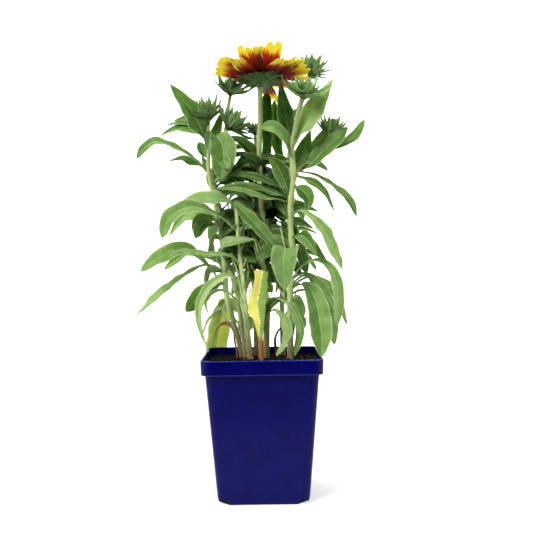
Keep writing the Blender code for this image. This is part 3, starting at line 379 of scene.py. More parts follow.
        path=[(14, 5, 137), (13, 5, 150), (16, 6, 158), (19, 7, 161)],
        radius=(1.8, 1.0),
        leaves=[],
        arches=[],
        buds=[],
        colour="dried",
    ),
}

RAYS = [
    Ray(231, -2, 8, 38, 16, 10), Ray(253, 9, 10, 44, 23), Ray(283, 9, 11, 45, 26),
    Ray(305, -4, 8, 38, 17), Ray(325, -3, 10, 46, 14, -16), Ray(338, -3, 6, 48, 17, -26),
    Ray(354, -3, 4, 49, 15, -18), Ray(14, 12, 2, 40, 17), Ray(33, 5, -8, 40, 18),
    Ray(55, 10, -8, 36, 15), Ray(74, 1, -12, 45, 14), Ray(99, 16, 2, 40, 19),
    Ray(125, 18, 2, 40, 20), Ray(152, 13, 2, 38, 18), Ray(178, 9, 4, 43, 16),
    Ray(200, -4, 6, 47, 16, 22), Ray(214, 5, 6, 46, 16, 14),
]

# Small leaves inside the bush: lowest and highest foot on the stem, and how many.
FILLING = {
    "left_stem": (215.0, 320.0, 20),
    "inner_stem": (210.0, 335.0, 30),
    "flower_stem": (225.0, 335.0, 38),
    "right_stem": (190.0, 330.0, 30),
    "young_shoot": (215.0, 275.0, 10),
    "back_stem": (225.0, 340.0, 34),
    "middle_stem": (218.0, 335.0, 46),
}
FILL_SIDE = 42.0
FILL_FRONT = -16.0
FILL_BACK = 46.0
FILL_TRIES = 9               # draws of a direction that stays inside the bush
THIN_STALKS = {"left_stem": 7, "inner_stem": 8, "young_shoot": 8, "flower_stem": 8, "right_stem": 4,
               "middle_stem": 5}
STALKS_LOW = 140.0
STALKS_HIGH = 215.0
THIN_STALK_RADII = (0.9, 0.5)

# How dark or pale each bud is, by its stem and height on it.
BUD_LOOKS = {
    ("left_stem", 372): (0.30, 0.3),
    ("inner_stem", 396): (0.10, 1.0),
    ("inner_stem", 354): (0.22, 0.9),
    ("right_stem", 385): (0.50, 0.7),
    ("right_stem", 306): (0.30, 0.2),
    ("back_stem", 424): (0.26, 0.1),
    ("back_stem", 346): (0.15, 0.5),
    ("middle_stem", 359): (0.10, 0.6),
}


# ================================================================ meshes
VALUES = ("across", "along", "share", "tone", "chance", "under", "edge")


class Skin:
    """The points, faces and named values of one mesh, gathered bit by bit."""

    def __init__(self):
        self.points = []
        self.faces = []
        self.values = {name: [] for name in VALUES}
        self.count = 0

    def add(self, points, faces, **values):
        points = np.asarray(points, float).reshape(-1, 3)
        self.points.append(points)
        self.faces += [tuple(k + self.count for k in face) for face in faces]
        for name, store in self.values.items():
            value = np.asarray(values.get(name, 0.0), float)
            store.append(np.broadcast_to(value, len(points)))
        self.count += len(points)

    def to_piece(self, name, finish, node, slot, sharp=50.0):
        """A piece that rides on the plant and stands for a CAD node."""
        if not self.count:
            return
        mesh = bpy.data.meshes.new(name)
        mesh.from_pydata(np.concatenate(self.points) * MM, [], self.faces)
        for key, store in self.values.items():
            attribute = mesh.attributes.new(key, "FLOAT", "POINT")
            attribute.data.foreach_set("value", np.concatenate(store).astype(np.float32))
        mesh.shade_smooth()
        mesh.set_sharp_from_angle(angle=math.radians(sharp))
        mesh.materials.append(finish)
        piece = bpy.data.objects.new(name, mesh)
        bpy.context.scene.collection.objects.link(piece)
        keep(piece, node)


def keep(piece, node):
    """A piece rides on the plant in place of its CAD node."""
    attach(piece, "root")
    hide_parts(node)


def loft_faces(rows, count, caps=True):
    """Quads between rings of points that all have the same count."""
    faces = []
    for row in range(rows - 1):
        for k in range(count):
            a = row * count + k
            b = row * count + (k + 1) % count
            faces.append((a, b, b + count, a + count))
    if caps:
        faces.append(tuple(range(count))[::-1])
        faces.append(tuple((rows - 1) * count + k for k in range(count)))
    return faces


def smoothstep(value):
    value = np.clip(value, 0.0, 1.0)
    return value * value * (3.0 - 2.0 * value)


def unit(vectors):
    return vectors / np.maximum(1e-9, np.linalg.norm(vectors, axis=-1, keepdims=True))


def bump_at(value, middle, width):
    """A smooth bump of height 1."""
    return np.exp(-((value - middle) / width) ** 2)


class Curve:
    """A smooth curve through points, read by its share of length."""

    STEPS = 16

    def __init__(self, points):
        points = [np.asarray(p, float) for p in points]
        ends = [points[0] * 2 - points[1], *points, points[-1] * 2 - points[-2]]
        steps = (np.arange(self.STEPS) / self.STEPS)[:, None]
        line = []
        for before, start, end, after in zip(ends, ends[1:], ends[2:], ends[3:]):
            reach = np.linalg.norm(end - start)
            out = unit(end - before) * reach
            into = unit(after - start) * reach
            line.append(start * (2 * steps ** 3 - 3 * steps ** 2 + 1)
                        + out * (steps ** 3 - 2 * steps ** 2 + steps)
                        + end * (3 * steps ** 2 - 2 * steps ** 3)
                        + into * (steps ** 3 - steps ** 2))
        self.line = np.vstack(line + [points[-1]])
        travelled = np.cumsum(np.linalg.norm(np.diff(self.line, axis=0), axis=1))
        self.length = travelled[-1]
        self.shares = np.concatenate([[0.0], travelled]) / self.length

    def at(self, share):
        share = np.clip(share, 0.0, 1.0)
        return np.stack([np.interp(share, self.shares, self.line[:, k]) for k in range(3)], axis=-1)

    def direction(self, share):
        return unit(self.at(np.asarray(share) + 0.02) - self.at(np.asarray(share) - 0.02))

    def at_height(self, height):
        share = np.interp(height, self.line[:, 2], self.shares)
        return self.at(share)


# ================================================================ hairs
def grow_hairs(skin, roots, ways, lengths, tone, rng):
    """Thin three-sided hairs, each from its root along its way."""
    ways = unit(ways + rng.normal(0.0, 0.22, ways.shape))
    helper = np.where(np.abs(ways[:, 2:3]) < 0.8, [[0.0, 0.0, 1.0]], [[1.0, 0.0, 0.0]])
    one = unit(np.cross(ways, helper))
    two = np.cross(ways, one)
    corners = []
    for k in range(3):
        turn = 2.0 * math.pi * k / 3.0
        corners.append(roots + (one * math.cos(turn) + two * math.sin(turn)) * HAIR_WIDTH)
    corners.append(roots + ways * lengths[:, None])
    points = np.stack(corners, axis=1)
    faces = []
    for number in range(len(roots)):
        a = 4 * number
        faces += [(a, a + 1, a + 3), (a + 1, a + 2, a + 3), (a + 2, a, a + 3)]
    share = np.tile([0.0, 0.0, 0.0, 1.0], len(roots))
    skin.add(points, faces, tone=tone, share=share, chance=np.repeat(rng.random(len(roots)), 4))


def hair_edge(skin, line, ways, spacing, length, tone, rng):
    """Hairs along a line of points, such as a leaf's margin."""
    run = np.concatenate([[0.0], np.cumsum(np.linalg.norm(np.diff(line, axis=0), axis=1))])
    count = int(run[-1] / spacing)
    if count < 1:
        return
    places = np.sort(rng.random(count)) * run[-1]
    roots = np.stack([np.interp(places, run, line[:, k]) for k in range(3)], axis=-1)
    leans = np.stack([np.interp(places, run, ways[:, k]) for k in range(3)], axis=-1)
    grow_hairs(skin, roots, leans, length * (0.5 + rng.random(count)), tone, rng)


def hair_stem(skin, curve, radii, density, length, tone, rng, start=0.0):
    """Hairs all round a stem."""
    count = int(curve.length * density * (1.0 - start))
    share = start + (1.0 - start) * rng.random(count)
    ahead = curve.direction(share)
    side = unit(np.cross(ahead, [0.0, 1.0, 0.0]))
    up = np.cross(side, ahead)
    turn = 2.0 * math.pi * rng.random(count)
    outward = side * np.cos(turn)[:, None] + up * np.sin(turn)[:, None]
    radius = radii[0] + (radii[1] - radii[0]) * share
    roots = curve.at(share) + outward * (radius * 0.96)[:, None]
    grow_hairs(skin, roots, outward + ahead * 0.15, length * (0.45 + rng.random(count)), tone, rng)


# ================================================================ blades
def outline(form, share):
    """Half the width of a blade of width 1, at each share of its length."""
    root, start, widest, power, fullness = form
    opening = 0.5 * (root + (1.0 - root) * smoothstep((share - start) / (widest - start)))
    past = np.clip((share - widest) / (1.0 - widest), 0.0, 1.0)
    closing = 0.5 * np.maximum(0.0, 1.0 - past ** power) ** fullness
    return np.where(share < widest, opening, closing)


def teeth(form, share, columns):
    """The coarse teeth of a blade, as a factor for each side."""
    if form not in LEFT_TEETH:
        return np.ones((len(share), len(columns)))
    left = np.interp(share, *LEFT_TEETH[form])[:, None]
    right = np.interp(share, *RIGHT_TEETH[form])[:, None]
    return np.where(columns[None, :] < 0.0, left, right)


def blade(skin, hairs, curve, width, roll, form, level_side, tone, rng, columns=LEAF_COLUMNS,
          fold=LEAF_FOLD, rib=RIB_DEPTH, ruffle=1.0, hair_length=0.8, spacing=2.0):
    """A leaf blade with a sunk midrib above, a rib below and waved margins."""
    rows = int(np.clip(curve.length / spacing, 9, 44))
    share = 1.0 - (1.0 - np.linspace(0.0, 1.0, rows)) ** 1.25
    centre = curve.at(share)
    ahead = curve.direction(share)
    level = np.asarray(level_side, float)
    side = unit(level - ahead * (ahead @ level)[:, None])
    sway = LEAF_SWAY * np.sin(share * curve.length / 9.0 + rng.random() * 6.3)
    turn = (np.radians(roll + sway) * smoothstep(share / 0.35))[:, None]
    side = side * np.cos(turn) + np.cross(ahead, side) * np.sin(turn)
    normal = np.cross(side, ahead)

    even = np.linspace(-1.0, 1.0, columns)
    places = np.sign(even) * np.abs(even) ** 1.3
    half = np.maximum(0.18, width * outline(form, share))[:, None]
    nibble = 1.0 + 0.035 * np.sin(share * curve.length / 3.1 + rng.random() * 6.0)[:, None]
    across = half * nibble * places[None, :] * teeth(form, share, places)

    waves = curve.length / 17.0
    phases = np.where(places < 0.0, rng.random() * 6.3, rng.random() * 6.3)[None, :]
    wave = np.sin(2.0 * math.pi * share[:, None] * waves + phases) * places[None, :] ** 2
    body = smoothstep(share / 0.2)[:, None] * (1.0 - share[:, None] ** 3)
    folds = fold * (1.25 - 0.75 * share[:, None])
    lift = half * folds * np.abs(places[None, :]) ** 1.2
    lift -= half * 0.13 * np.abs(places[None, :]) ** 4
    lift += ruffle * 0.11 * half * wave * body
    lift -= 0.20 * bump_at(across, 0.0, 0.6) * (1.0 - 0.6 * share[:, None])
    thick = LEAF_THICKNESS * (1.0 - 0.35 * places[None, :] ** 2)
    thick = thick + rib * (1.0 - share[:, None]) ** 1.3 * bump_at(across, 0.0, 0.65)

    top = centre[:, None] + side[:, None] * across[..., None] + normal[:, None] * lift[..., None]
    low = top - normal[:, None] * thick[..., None]
    ring = np.concatenate([top, low[:, -2:0:-1]], axis=1)
    count = ring.shape[1]
    ring_across = np.concatenate([across, across[:, -2:0:-1]], axis=1)
    under = np.concatenate([np.zeros(columns), np.ones(columns - 2)])
    edge = np.abs(np.concatenate([places, places[-2:0:-1]]))
    skin.add(ring, loft_faces(rows, count), across=ring_across.ravel(),
             along=np.repeat(share * curve.length, count), share=np.repeat(share, count),
             tone=tone, chance=rng.random(), under=np.tile(under, rows), edge=np.tile(edge, rows))
    if hairs is not None:
        for column, way in ((0, -1.0), (columns - 1, 1.0)):
            hair_edge(hairs, top[:, column], side * way + normal * 0.25 + ahead * 0.3,
                      1.0 / EDGE_HAIRS_PER_MM, hair_length, tone, rng)


def leaf_side(path, facing):
    """The level direction that a leaf is wide in before it is rolled."""
    if facing is None:
        run = np.asarray(path[-1], float) - np.asarray(path[0], float)
        plan = unit(np.array([run[0], run[1], 0.0]))
    else:
        turn = math.radians(facing)
        plan = np.array([math.cos(turn), math.sin(turn), 0.0])
    return np.array([plan[1], -plan[0], 0.0])


def arch_path(foot, arch):
    """Up and out from the stem, then down."""
    turn = math.radians(arch.azimuth)
    plan = np.array([math.cos(turn), math.sin(turn), 0.0])
    path = []
    for share in (0.0, 0.33, 0.66, 1.0):
        rise = arch.length * (arch.lift * share - arch.droop * share * share)
        path.append(foot + plan * arch.length * 0.86 * share + np.array([0.0, 0.0, rise]))
    return path


def tube(skin, curve, radii, tone, rng, sides=STEM_SIDES, spacing=2.5, joints=()):
    """A ribbed stem that swells a little where leaves leave it."""
    rows = max(4, int(curve.length / spacing))
    share = np.linspace(0.0, 1.0, rows)
    centre = curve.at(share)
    ahead = curve.direction(share)
    side = unit(np.cross(ahead, [0.0, 1.0, 0.0]))
    up = np.cross(side, ahead)
    turn = np.arange(sides) * 2.0 * math.pi / sides
    radius = (radii[0] + (radii[1] - radii[0]) * share)[:, None]
    for height in joints:
        radius = radius * (1.0 + 0.14 * bump_at(centre[:, 2], height, 3.0))[:, None]
    ribs = 1.0 + 0.06 * np.cos(5.0 * turn + rng.random() * 6.0)[None, :]
    uneven = 1.0 + 0.04 * np.sin(share * curve.length / 7.0 + rng.random() * 6.0)[:, None]
    radius = radius * ribs * uneven
    outward = side[:, None] * np.cos(turn)[None, :, None] + up[:, None] * np.sin(turn)[None, :, None]
    ring = centre[:, None] + outward * radius[..., None]
    skin.add(ring, loft_faces(rows, sides), across=np.tile(turn, rows),
             along=np.repeat(share * curve.length, sides), share=np.repeat(share, sides),
             tone=tone, chance=rng.random())


# ================================================================ buds and bracts
class Frame:
    """A place with its own upright axis; X is kept level."""

    def __init__(self, origin, axis):
        self.origin = np.asarray(origin, float)
        self.axis = unit(np.asarray(axis, float))
        level = np.array([1.0, 0.0, 0.0])
        self.across = unit(level - self.axis * (self.axis @ level))
        self.back = np.cross(self.axis, self.across)

    def point(self, x, y, z):
        return self.origin + self.turned(x, y, z)

    def turned(self, x, y, z):
        x, y, z = (np.asarray(v, float)[..., None] for v in (x, y, z))
        return x * self.across + y * self.back + z * self.axis


def bract_ring(skin, hairs, frame, count, offset, start, height, length, rise, curl, width, tone, rng,
               hair_length, short=0.0):
    """A ring of pointed bracts that spread from a frame's axis; those in front may be shorter."""
    for number in range(count):
        turn = 2.0 * math.pi * (number + offset + rng.normal(0.0, 0.08)) / count
        reach = length * (1.0 + 0.16 * rng.normal()) * (1.0 - short * max(0.0, -math.sin(turn)))
        angle = math.radians(rise + rng.normal(0.0, 6.0))
        bend = math.radians(curl + rng.normal(0.0, 4.0))
        out, up = start, height
        path = []
        for _ in range(4):
            path.append(frame.point(out * math.cos(turn), out * math.sin(turn), up))
            out += math.cos(angle) * reach / 3.0
            up += math.sin(angle) * reach / 3.0
            angle += bend * 2.0 / 3.0
        wide = frame.turned(math.sin(turn), -math.cos(turn), 0.0)
        blade(skin, hairs, Curve(path), width * (0.85 + 0.3 * rng.random()), rng.normal(0.0, 10.0),
              BRACT, wide, tone + rng.normal(0.0, 0.07), rng, columns=7, fold=0.35, rib=0.5,
              ruffle=0.6, hair_length=hair_length, spacing=1.5)


def dome(skin, frame, profile, sides, **values):
    """A turned solid from a list of (radius, height)."""
    turn = np.arange(sides) * 2.0 * math.pi / sides
    rings = [frame.point(radius * np.cos(turn), radius * np.sin(turn), np.full(sides, height))
             for radius, height in profile]
    skin.add(np.stack(rings), loft_faces(len(profile), sides), **values)


def bristles(skin, frame, count, radius, centre_height, length, width, spread, tone, rng, sides=4):
    """Pointed florets that stand out all over a dome."""
    golden = math.pi * (3.0 - math.sqrt(5.0))
    for number in range(count):
        lean = math.radians(spread) * math.sqrt((number + 0.5) / count)
        turn = number * golden
        outward = np.array([math.cos(turn) * math.sin(lean), math.sin(turn) * math.sin(lean),
                            math.cos(lean)])
        bent = unit(outward + rng.normal(0.0, 0.12, 3))
        reach = length * (0.75 + 0.5 * rng.random())
        level = unit(np.array([-outward[1], outward[0], 1e-6]))
        upright = np.cross(outward, level)
        rings = []
        for part, breadth in ((0.0, 0.8), (0.45, 1.0), (0.8, 0.55), (1.0, 0.08)):
            middle = outward * radius + bent * reach * part + np.array([0.0, 0.0, centre_height])
            ring = []
            for k in range(sides):
                angle = 2.0 * math.pi * k / sides
                off = (level * math.cos(angle) + upright * math.sin(angle)) * width * 0.5 * breadth
                place = middle + off
                ring.append(frame.point(*place))
            rings.append(ring)
        share = np.repeat([0.0, 0.45, 0.8, 1.0], sides)
        skin.add(np.array(rings), loft_faces(4, sides), share=share, tone=tone + rng.normal(0.0, 0.08),
                 chance=rng.random())


def flower_bud(skin, hairs, base, axis, size, spread, tone, leafy, rng):
    """A green bud: a dome of pointed florets inside four rows of bracts."""
    frame = Frame(base, axis)
    profile = [(1.3, -2.2), (3.2, -0.8), (5.0, 1.0), (5.6, 3.2), (5.0, 5.4), (3.4, 7.0), (1.2, 7.8)]
    core = size * (1.0 - 0.35 * leafy)
    dome(skin, frame, [(r * core, h * core) for r, h in profile], 14, tone=tone - 0.04, share=0.3,
         across=OFF_MIDRIB, chance=rng.random())
    rows = (
        (7, 0.0, 2.6, 0.4, 13.0, 44.0 - 50.0 * spread, 14.0, 5.6),
        (8, 0.5, 3.4, 1.2, 12.0, 52.0 - 42.0 * spread, 18.0, 5.4),
        (9, 0.2, 4.2, 2.4, 11.0, 66.0 - 36.0 * spread, 16.0, 4.8),
        (8, 0.7, 4.4, 3.8, 9.0, 84.0 - 24.0 * spread, 12.0, 4.2),
    )
    narrow = 0.62 + 0.50 * leafy
    for number, (count, offset, start, height, length, rise, curl, width) in enumerate(rows):
        count = round(count * (1.1 - 0.35 * leafy))
        bract_ring(skin, hairs, frame, count, offset, start * size, height * size, length * size,
                   rise, curl * (0.3 + leafy), width * size * narrow, tone + 0.05 * number, rng, 0.8)
    bristles(skin, frame, BUD_FLORETS, 3.8 * core, 3.6 * core, 5.0 * size, 1.2 * size, 66.0, tone - 0.1, rng)


def head_frame():
    tilt = math.radians(HEAD_TILT)
    return Frame(HEAD_CENTRE, (0.0, math.sin(tilt), math.cos(tilt)))


def involucre(skin, hairs, rng):
    """The shaggy green cup under the rays."""
    frame = head_frame()
    top = -RAY_PLATE_THICKNESS / 2.0 - GAP
    profile = [(2.2, -10.5), (2.9, -8.8), (4.2, -7.4), (6.2, -5.8), (8.8, -4.0), (10.2, -2.2), (10.2, top)]
    dome(skin, frame, profile, 22, tone=0.42, share=0.3, across=OFF_MIDRIB, chance=0.5)
    rows = (
        (19, 0.25, 7.6, -2.4, 17.5, -1.0, 2.0, 6.2, 0.08),
        (18, 0.0, 7.0, -3.0, 16.5, -5.0, 4.0, 6.0, 0.12),
        (16, 0.6, 6.2, -3.8, 15.5, -9.0, 6.0, 5.4, 0.16),
        (13, 0.4, 5.0, -5.0, 10.0, -16.0, 10.0, 4.8, 0.24),
    )
    for count, offset, start, height, length, rise, curl, width, tone in rows:
        bract_ring(skin, hairs, frame, count, offset, start, height, length, rise, curl, width, tone,
                   rng, 1.2, 0.45)
    turn = 2.0 * math.pi * rng.random(CUP_HAIRS)
    out = 3.0 + 9.0 * rng.random(CUP_HAIRS)
    down = -8.5 + 5.5 * ((out - 3.0) / 9.0) ** 0.7
    roots = frame.point(out * np.cos(turn), out * np.sin(turn), down)
    ways = frame.turned(np.cos(turn), np.sin(turn), np.full(CUP_HAIRS, -0.8))
    grow_hairs(hairs, roots, ways, 0.8 + rng.random(CUP_HAIRS), 0.4, rng)


# ================================================================ stems
def leaf_tone(height):
    """Arched leaves are darker the higher they stand."""
    return float(np.interp(height, (150.0, 250.0, 340.0), (0.6, 0.35, 0.25)))


def fill_inside(skin, curve, low, high, count, rng):
    """Small leaves, mostly dark, inside the bush, where the stems would else stand bare; the dark is partly
    painted shade.
    """
    for _ in range(count):
        foot = curve.at_height(low + (high - low) * rng.random())
        reach = 28.0 + 22.0 * rng.random()
        for _ in range(FILL_TRIES):
            turn = 2.0 * math.pi * rng.random()
            end = foot + reach * 0.86 * np.array([math.cos(turn), math.sin(turn), 0.0])
            if abs(end[0]) < FILL_SIDE and FILL_FRONT < end[1] < FILL_BACK:
                break
        lift = min(0.3 + 1.1 * rng.random(), (high + 8.0 - foot[2]) / reach + 0.5)
        arch = Arch(0, math.degrees(turn), reach, 7.0 + 8.0 * rng.random(), lift,
                    0.5 + 0.8 * rng.random())
        path = arch_path(foot, arch)
        roll = (25.0 + 60.0 * rng.random()) * (1.0 if math.cos(turn) > 0.0 else -1.0)
        form = (LANCE, SPOON, BROAD)[rng.integers(3)]
        # Their tones, mostly dark, are partly painted shade for the inside of the bush.
        blade(skin, None, Curve(path), arch.width, roll, form, leaf_side(path, None),
              0.19 + 0.40 * rng.random() ** 1.5, rng, columns=9)


def thin_stalks(skin, hairs, curve, count, rng):
    """Thin pale stalks of young and withered leaves that stand along the foot of a stem."""
    for _ in range(count):
        height = STALKS_LOW + (STALKS_HIGH - STALKS_LOW) * rng.random()
        foot = curve.at_height(height)
        turn = math.radians(30.0 + 220.0 * rng.random())
        out = np.array([math.cos(turn), math.sin(turn), 0.0])
        length = 30.0 + 45.0 * rng.random()
        lean = 4.0 + 9.0 * rng.random()
        bend = rng.normal(0.0, 3.0, 2)
        path = [foot + out * 1.2]
        path.append(foot + out * (2.4 + 0.3 * lean) + [bend[0], 0.0, 0.4 * length])
        path.append(foot + out * (2.0 + 0.7 * lean) + [0.0, bend[1], 0.75 * length])
        path.append(foot + out * (1.0 + 1.3 * lean) + [bend[1], bend[0], length])
        stalk = Curve(path)
        tube(skin, stalk, THIN_STALK_RADII, 0.3, rng, sides=7)
        hair_stem(hairs, stalk, THIN_STALK_RADII, 5.0, 1.1, 0.95, rng)


def make_stem(name, stem, number, finishes):
    """One leafy stem: its stalks, leaves, buds and hairs."""
    rng = np.random.default_rng(SEED + number)
    first = np.asarray(stem.path[0], float)
    curve = Curve([(first[0], first[1], ROOT_BOTTOM), *stem.path])
    stalks, leaves, buds, hairs = Skin(), Skin(), Skin(), Skin()
    joints = [leaf.height for leaf in stem.leaves] + [arch.height for arch in stem.arches]
    tube(stalks, curve, stem.radius, 0.5, rng, joints=joints)
    green = stem.colour == "stem"
    if green:
        hair_stem(hairs, curve, stem.radius, STEM_HAIRS_PER_MM, 1.5, 0.9, rng, 0.08)
    for leaf in stem.leaves:
        path = [curve.at_height(leaf.height), *leaf.path]
        blade(leaves, hairs if green else None, Curve(path), leaf.width, leaf.roll, leaf.form,
              leaf_side(path, leaf.facing), leaf.tone, rng)
    for arch in stem.arches:
        path = arch_path(curve.at_height(arch.height), arch)
        roll = arch.roll if arch.azimuth < 90 else -arch.roll
        blade(leaves, hairs, Curve(path), arch.width, roll, SPOON, leaf_side(path, None),
              leaf_tone(arch.height) + rng.normal(0.0, 0.05), rng)
    for bud in stem.buds:
        base = curve.at_height(bud.height)
        if bud.path:
            stalk = Curve([base, *bud.path])
            radii = (stem.radius[1] * 1.1, 1.3)
            tube(stalks, stalk, radii, 0.5, rng)
            hair_stem(hairs, stalk, radii, STEM_HAIRS_PER_MM, 1.2, 0.8, rng)
            base = np.asarray(bud.path[-1], float)
        tone, leafy = BUD_LOOKS[name, bud.height]
        flower_bud(buds, hairs, base, bud.axis, bud.size, bud.spread, tone, leafy, rng)
    if name == "flower_stem":
        involucre(buds, hairs, rng)
    if name in FILLING:
        fill_inside(leaves, curve, *FILLING[name], rng)
    thin_stalks(stalks, hairs, curve, THIN_STALKS.get(name, 0), rng)
    slot = {"stem": "leafy_stem", "yellow": "yellow_leaf", "dried": "dried_leaf"}[stem.colour]
    stalks.to_piece(name + "_stalks", finishes["stalk" if green else stem.colour], name, slot)
    leaves.to_piece(name + "_leaves", finishes["leaf" if green else stem.colour], name, slot)
    buds.to_piece(name + "_bracts", finishes["bract"], name, slot)
    hairs.to_piece(name + "_hairs", finishes["hair"], name, slot)


# ================================================================ the flower's rays and disc
RAY_COLUMNS = (0.0, 0.12, 0.22, 0.29, 0.34, 0.39, 0.47, 0.58, 0.70, 0.82, 0.92, 1.0)
NOTCH_PLACE = 0.34
SIDE_LOBE = 0.67               # middle of each side lobe
RAY_ROWS = 30


def ray_floret(skin, ray, rng):
    """One ray: narrow at its root, grooved, and cleft into three lobes at its tip."""
    frame = head_frame()
    columns = np.array([-c for c in RAY_COLUMNS[:0:-1]] + list(RAY_COLUMNS))
    share = np.linspace(0.0, 1.0, RAY_ROWS)[:, None]
    beside = np.abs(columns)[None, :]
    middle_lobe = (beside / NOTCH_PLACE) ** 3
    side_lobe = np.abs((beside - SIDE_LOBE) / (SIDE_LOBE - NOTCH_PLACE)) ** 3
    side_lobe = np.where(beside > SIDE_LOBE, 0.7 * side_lobe, side_lobe)
    notch = np.where(beside < NOTCH_PLACE, middle_lobe, side_lobe)
    depth = 0.05 + 0.05 * rng.random()
    lobes = np.array([0.06, 0.03, 0.06]) * rng.random(3)
    which = np.where(columns < -NOTCH_PLACE, 0, np.where(columns > NOTCH_PLACE, 2, 1))
    cut = depth * notch + lobes[which][None, :]
    reach = share * (1.0 - cut * smoothstep((share - 0.45) / 0.55))

    breadth = 0.28 + 0.72 * smoothstep(share / 0.62)
    breadth = breadth * (1.0 - 0.06 * smoothstep((share - 0.86) / 0.14))
    across = 0.5 * ray.width * breadth * columns[None, :]
    along = reach * (ray.length - RAY_ROOT)
    angle = np.radians(ray.raise_by + ray.curl * reach)
    out = RAY_ROOT + along * np.cos(angle)
    grooves = -0.55 * bump_at(beside, NOTCH_PLACE, 0.13) * smoothstep(share * 4.0)
    centre_rib = 0.30 * bump_at(beside, 0.0, 0.16) * smoothstep(share * 4.0)
    sag = (0.9 + 0.9 * rng.random()) * beside ** 2 * share
    tip_curls = rng.normal(0.6, 1.3, 3)
    curls = tip_curls[which][None, :] * smoothstep((reach - 0.62) / 0.38) ** 1.5
    ruffles = 0.5 * np.sin(along / 4.2 + rng.random() * 6.0 + 2.0 * columns[None, :]) * beside * share
    height = along * np.sin(angle) + grooves + centre_rib - sag + curls + ruffles
    twist = math.radians(ray.roll + rng.normal(0.0, 4.0)) * share
    height = height + across * np.sin(twist)
    across = across * np.cos(twist)

    turn = math.radians(ray.azimuth)
    x = out * math.cos(turn) - across * math.sin(turn)
    y = out * math.sin(turn) + across * math.cos(turn)
    top = frame.point(x, y, height + RAY_THICKNESS / 2.0)
    low = frame.point(x, y, height - RAY_THICKNESS / 2.0)
    ring = np.concatenate([top, low[:, -2:0:-1]], axis=1)
    count = ring.shape[1]
    both = np.concatenate([columns, columns[-2:0:-1]])
    reach_ring = np.concatenate([reach, reach[:, -2:0:-1]], axis=1)
    under = np.concatenate([np.zeros(len(columns)), np.ones(len(columns) - 2)])
    skin.add(ring, loft_faces(RAY_ROWS, count, caps=False), across=np.tile(both, RAY_ROWS),
             along=np.repeat(share.ravel() * ray.length, count), share=reach_ring.ravel(),
             tone=rng.random(), chance=rng.random(), under=np.tile(under, RAY_ROWS))
    for row in (0, RAY_ROWS - 1):
        close_end(skin, ring[row], both, reach_ring[row], columns.size)


def close_end(skin, ring, both, reach, columns):
    """The thin strip that shuts a ray's root or tip."""
    faces = []
    count = len(ring)
    for k in range(columns - 1):
        low_here = (count - k) % count
        low_next = count - k - 1
        if low_here == 0:
            faces.append((0, 1, low_next))
        elif k == columns - 2:
            faces.append((k, k + 1, low_here))
        else:
            faces.append((k, k + 1, low_next, low_here))
    skin.add(ring, faces, across=both, share=reach, tone=0.5, chance=0.5)


def make_rays(finishes):
    skin = Skin()
    rng = np.random.default_rng(SEED + 100)
    half = RAY_PLATE_THICKNESS / 2.0
    dome(skin, head_frame(), [(8.6, -half), (9.0, 0.0), (8.6, half)], 28, share=0.0, tone=0.5)
    for ray in RAYS:
        ray_floret(skin, ray, rng)
    skin.to_piece("flower_rays_fine", finishes["petal"], "flower_rays", "petal", 60.0)


def make_disc(finishes):
    """The domed middle, packed with pointed florets."""
    skin = Skin()
    rng = np.random.default_rng(SEED + 101)
    frame = head_frame()
    base = RAY_PLATE_THICKNESS / 2.0 + GAP
    profile = [(7.0, base), (7.6, base + 0.9)]
    for step in range(9):
        turn = 0.5 * math.pi * step / 8.6
        profile.append((DISC_RADIUS * 0.84 * math.cos(turn),
                        base + 2.0 + (DISC_HEIGHT - 2.8) * math.sin(turn)))
    dome(skin, frame, profile, 26, share=0.1, tone=0.3)
    bristles(skin, frame, DISC_FLORETS, DISC_RADIUS * 0.72, base + 0.6, 3.6, 1.25, 96.0, 0.5, rng, 5)
    skin.to_piece("flower_disc_fine", finishes["disc"], "flower_disc", "disc")


# ================================================================ pot and soil
def rounded_square(width, radius, height, steps=CORNER_STEPS):
    """Points round a square with round corners."""
    points = []
    half = width / 2.0
    for corner in range(4):
        middle = math.pi / 4.0 + corner * math.pi / 2.0
        centre = np.array([math.copysign(half - radius, math.cos(middle)),
                           math.copysign(half - radius, math.sin(middle)), height])
        for step in range(steps + 1):
            turn = middle + math.pi / 2.0 * (step / steps - 0.5)
            points.append(centre + np.array([math.cos(turn), math.sin(turn), 0.0]) * radius)
    return points


def wall_width(height):
    """The pot's outer width below the band."""
    top = RIM_WIDTH - 2.0 * BAND_PROUD
    return BASE_WIDTH + (top - BASE_WIDTH) * height / (POT_HEIGHT - BAND_HEIGHT)


def plain_object(name, points, faces, finish):
    mesh = bpy.data.meshes.new(name)
    mesh.from_pydata([Vector(p) * MM for p in points], [], faces)
    work = bmesh.new()
    work.from_mesh(mesh)
    bmesh.ops.recalc_face_normals(work, faces=work.faces)
    work.to_mesh(mesh)
    work.free()
    mesh.materials.append(finish)
    made = bpy.data.objects.new(name, mesh)
    bpy.context.scene.collection.objects.link(made)
    return made


def square_loft(name, rings, finish):
    """A solid through rounded squares, each given as (width, radius, height)."""
    points = []
    for width, radius, height in rings:
        points += rounded_square(width, radius, height)
    return plain_object(name, points, loft_faces(len(rings), len(points) // len(rings)), finish)


def cut_away(made, tools):
    """Cut tools out of a solid, then remove them."""
    for tool in tools:
        step = made.modifiers.new("cut", "BOOLEAN")
        step.operation = "DIFFERENCE"
        step.object = tool
        graph = bpy.context.evaluated_depsgraph_get()
        mesh = bpy.data.meshes.new_from_object(made.evaluated_get(graph))
        made.modifiers.clear()
        made.data = mesh
        bpy.data.objects.remove(tool, do_unlink=True)


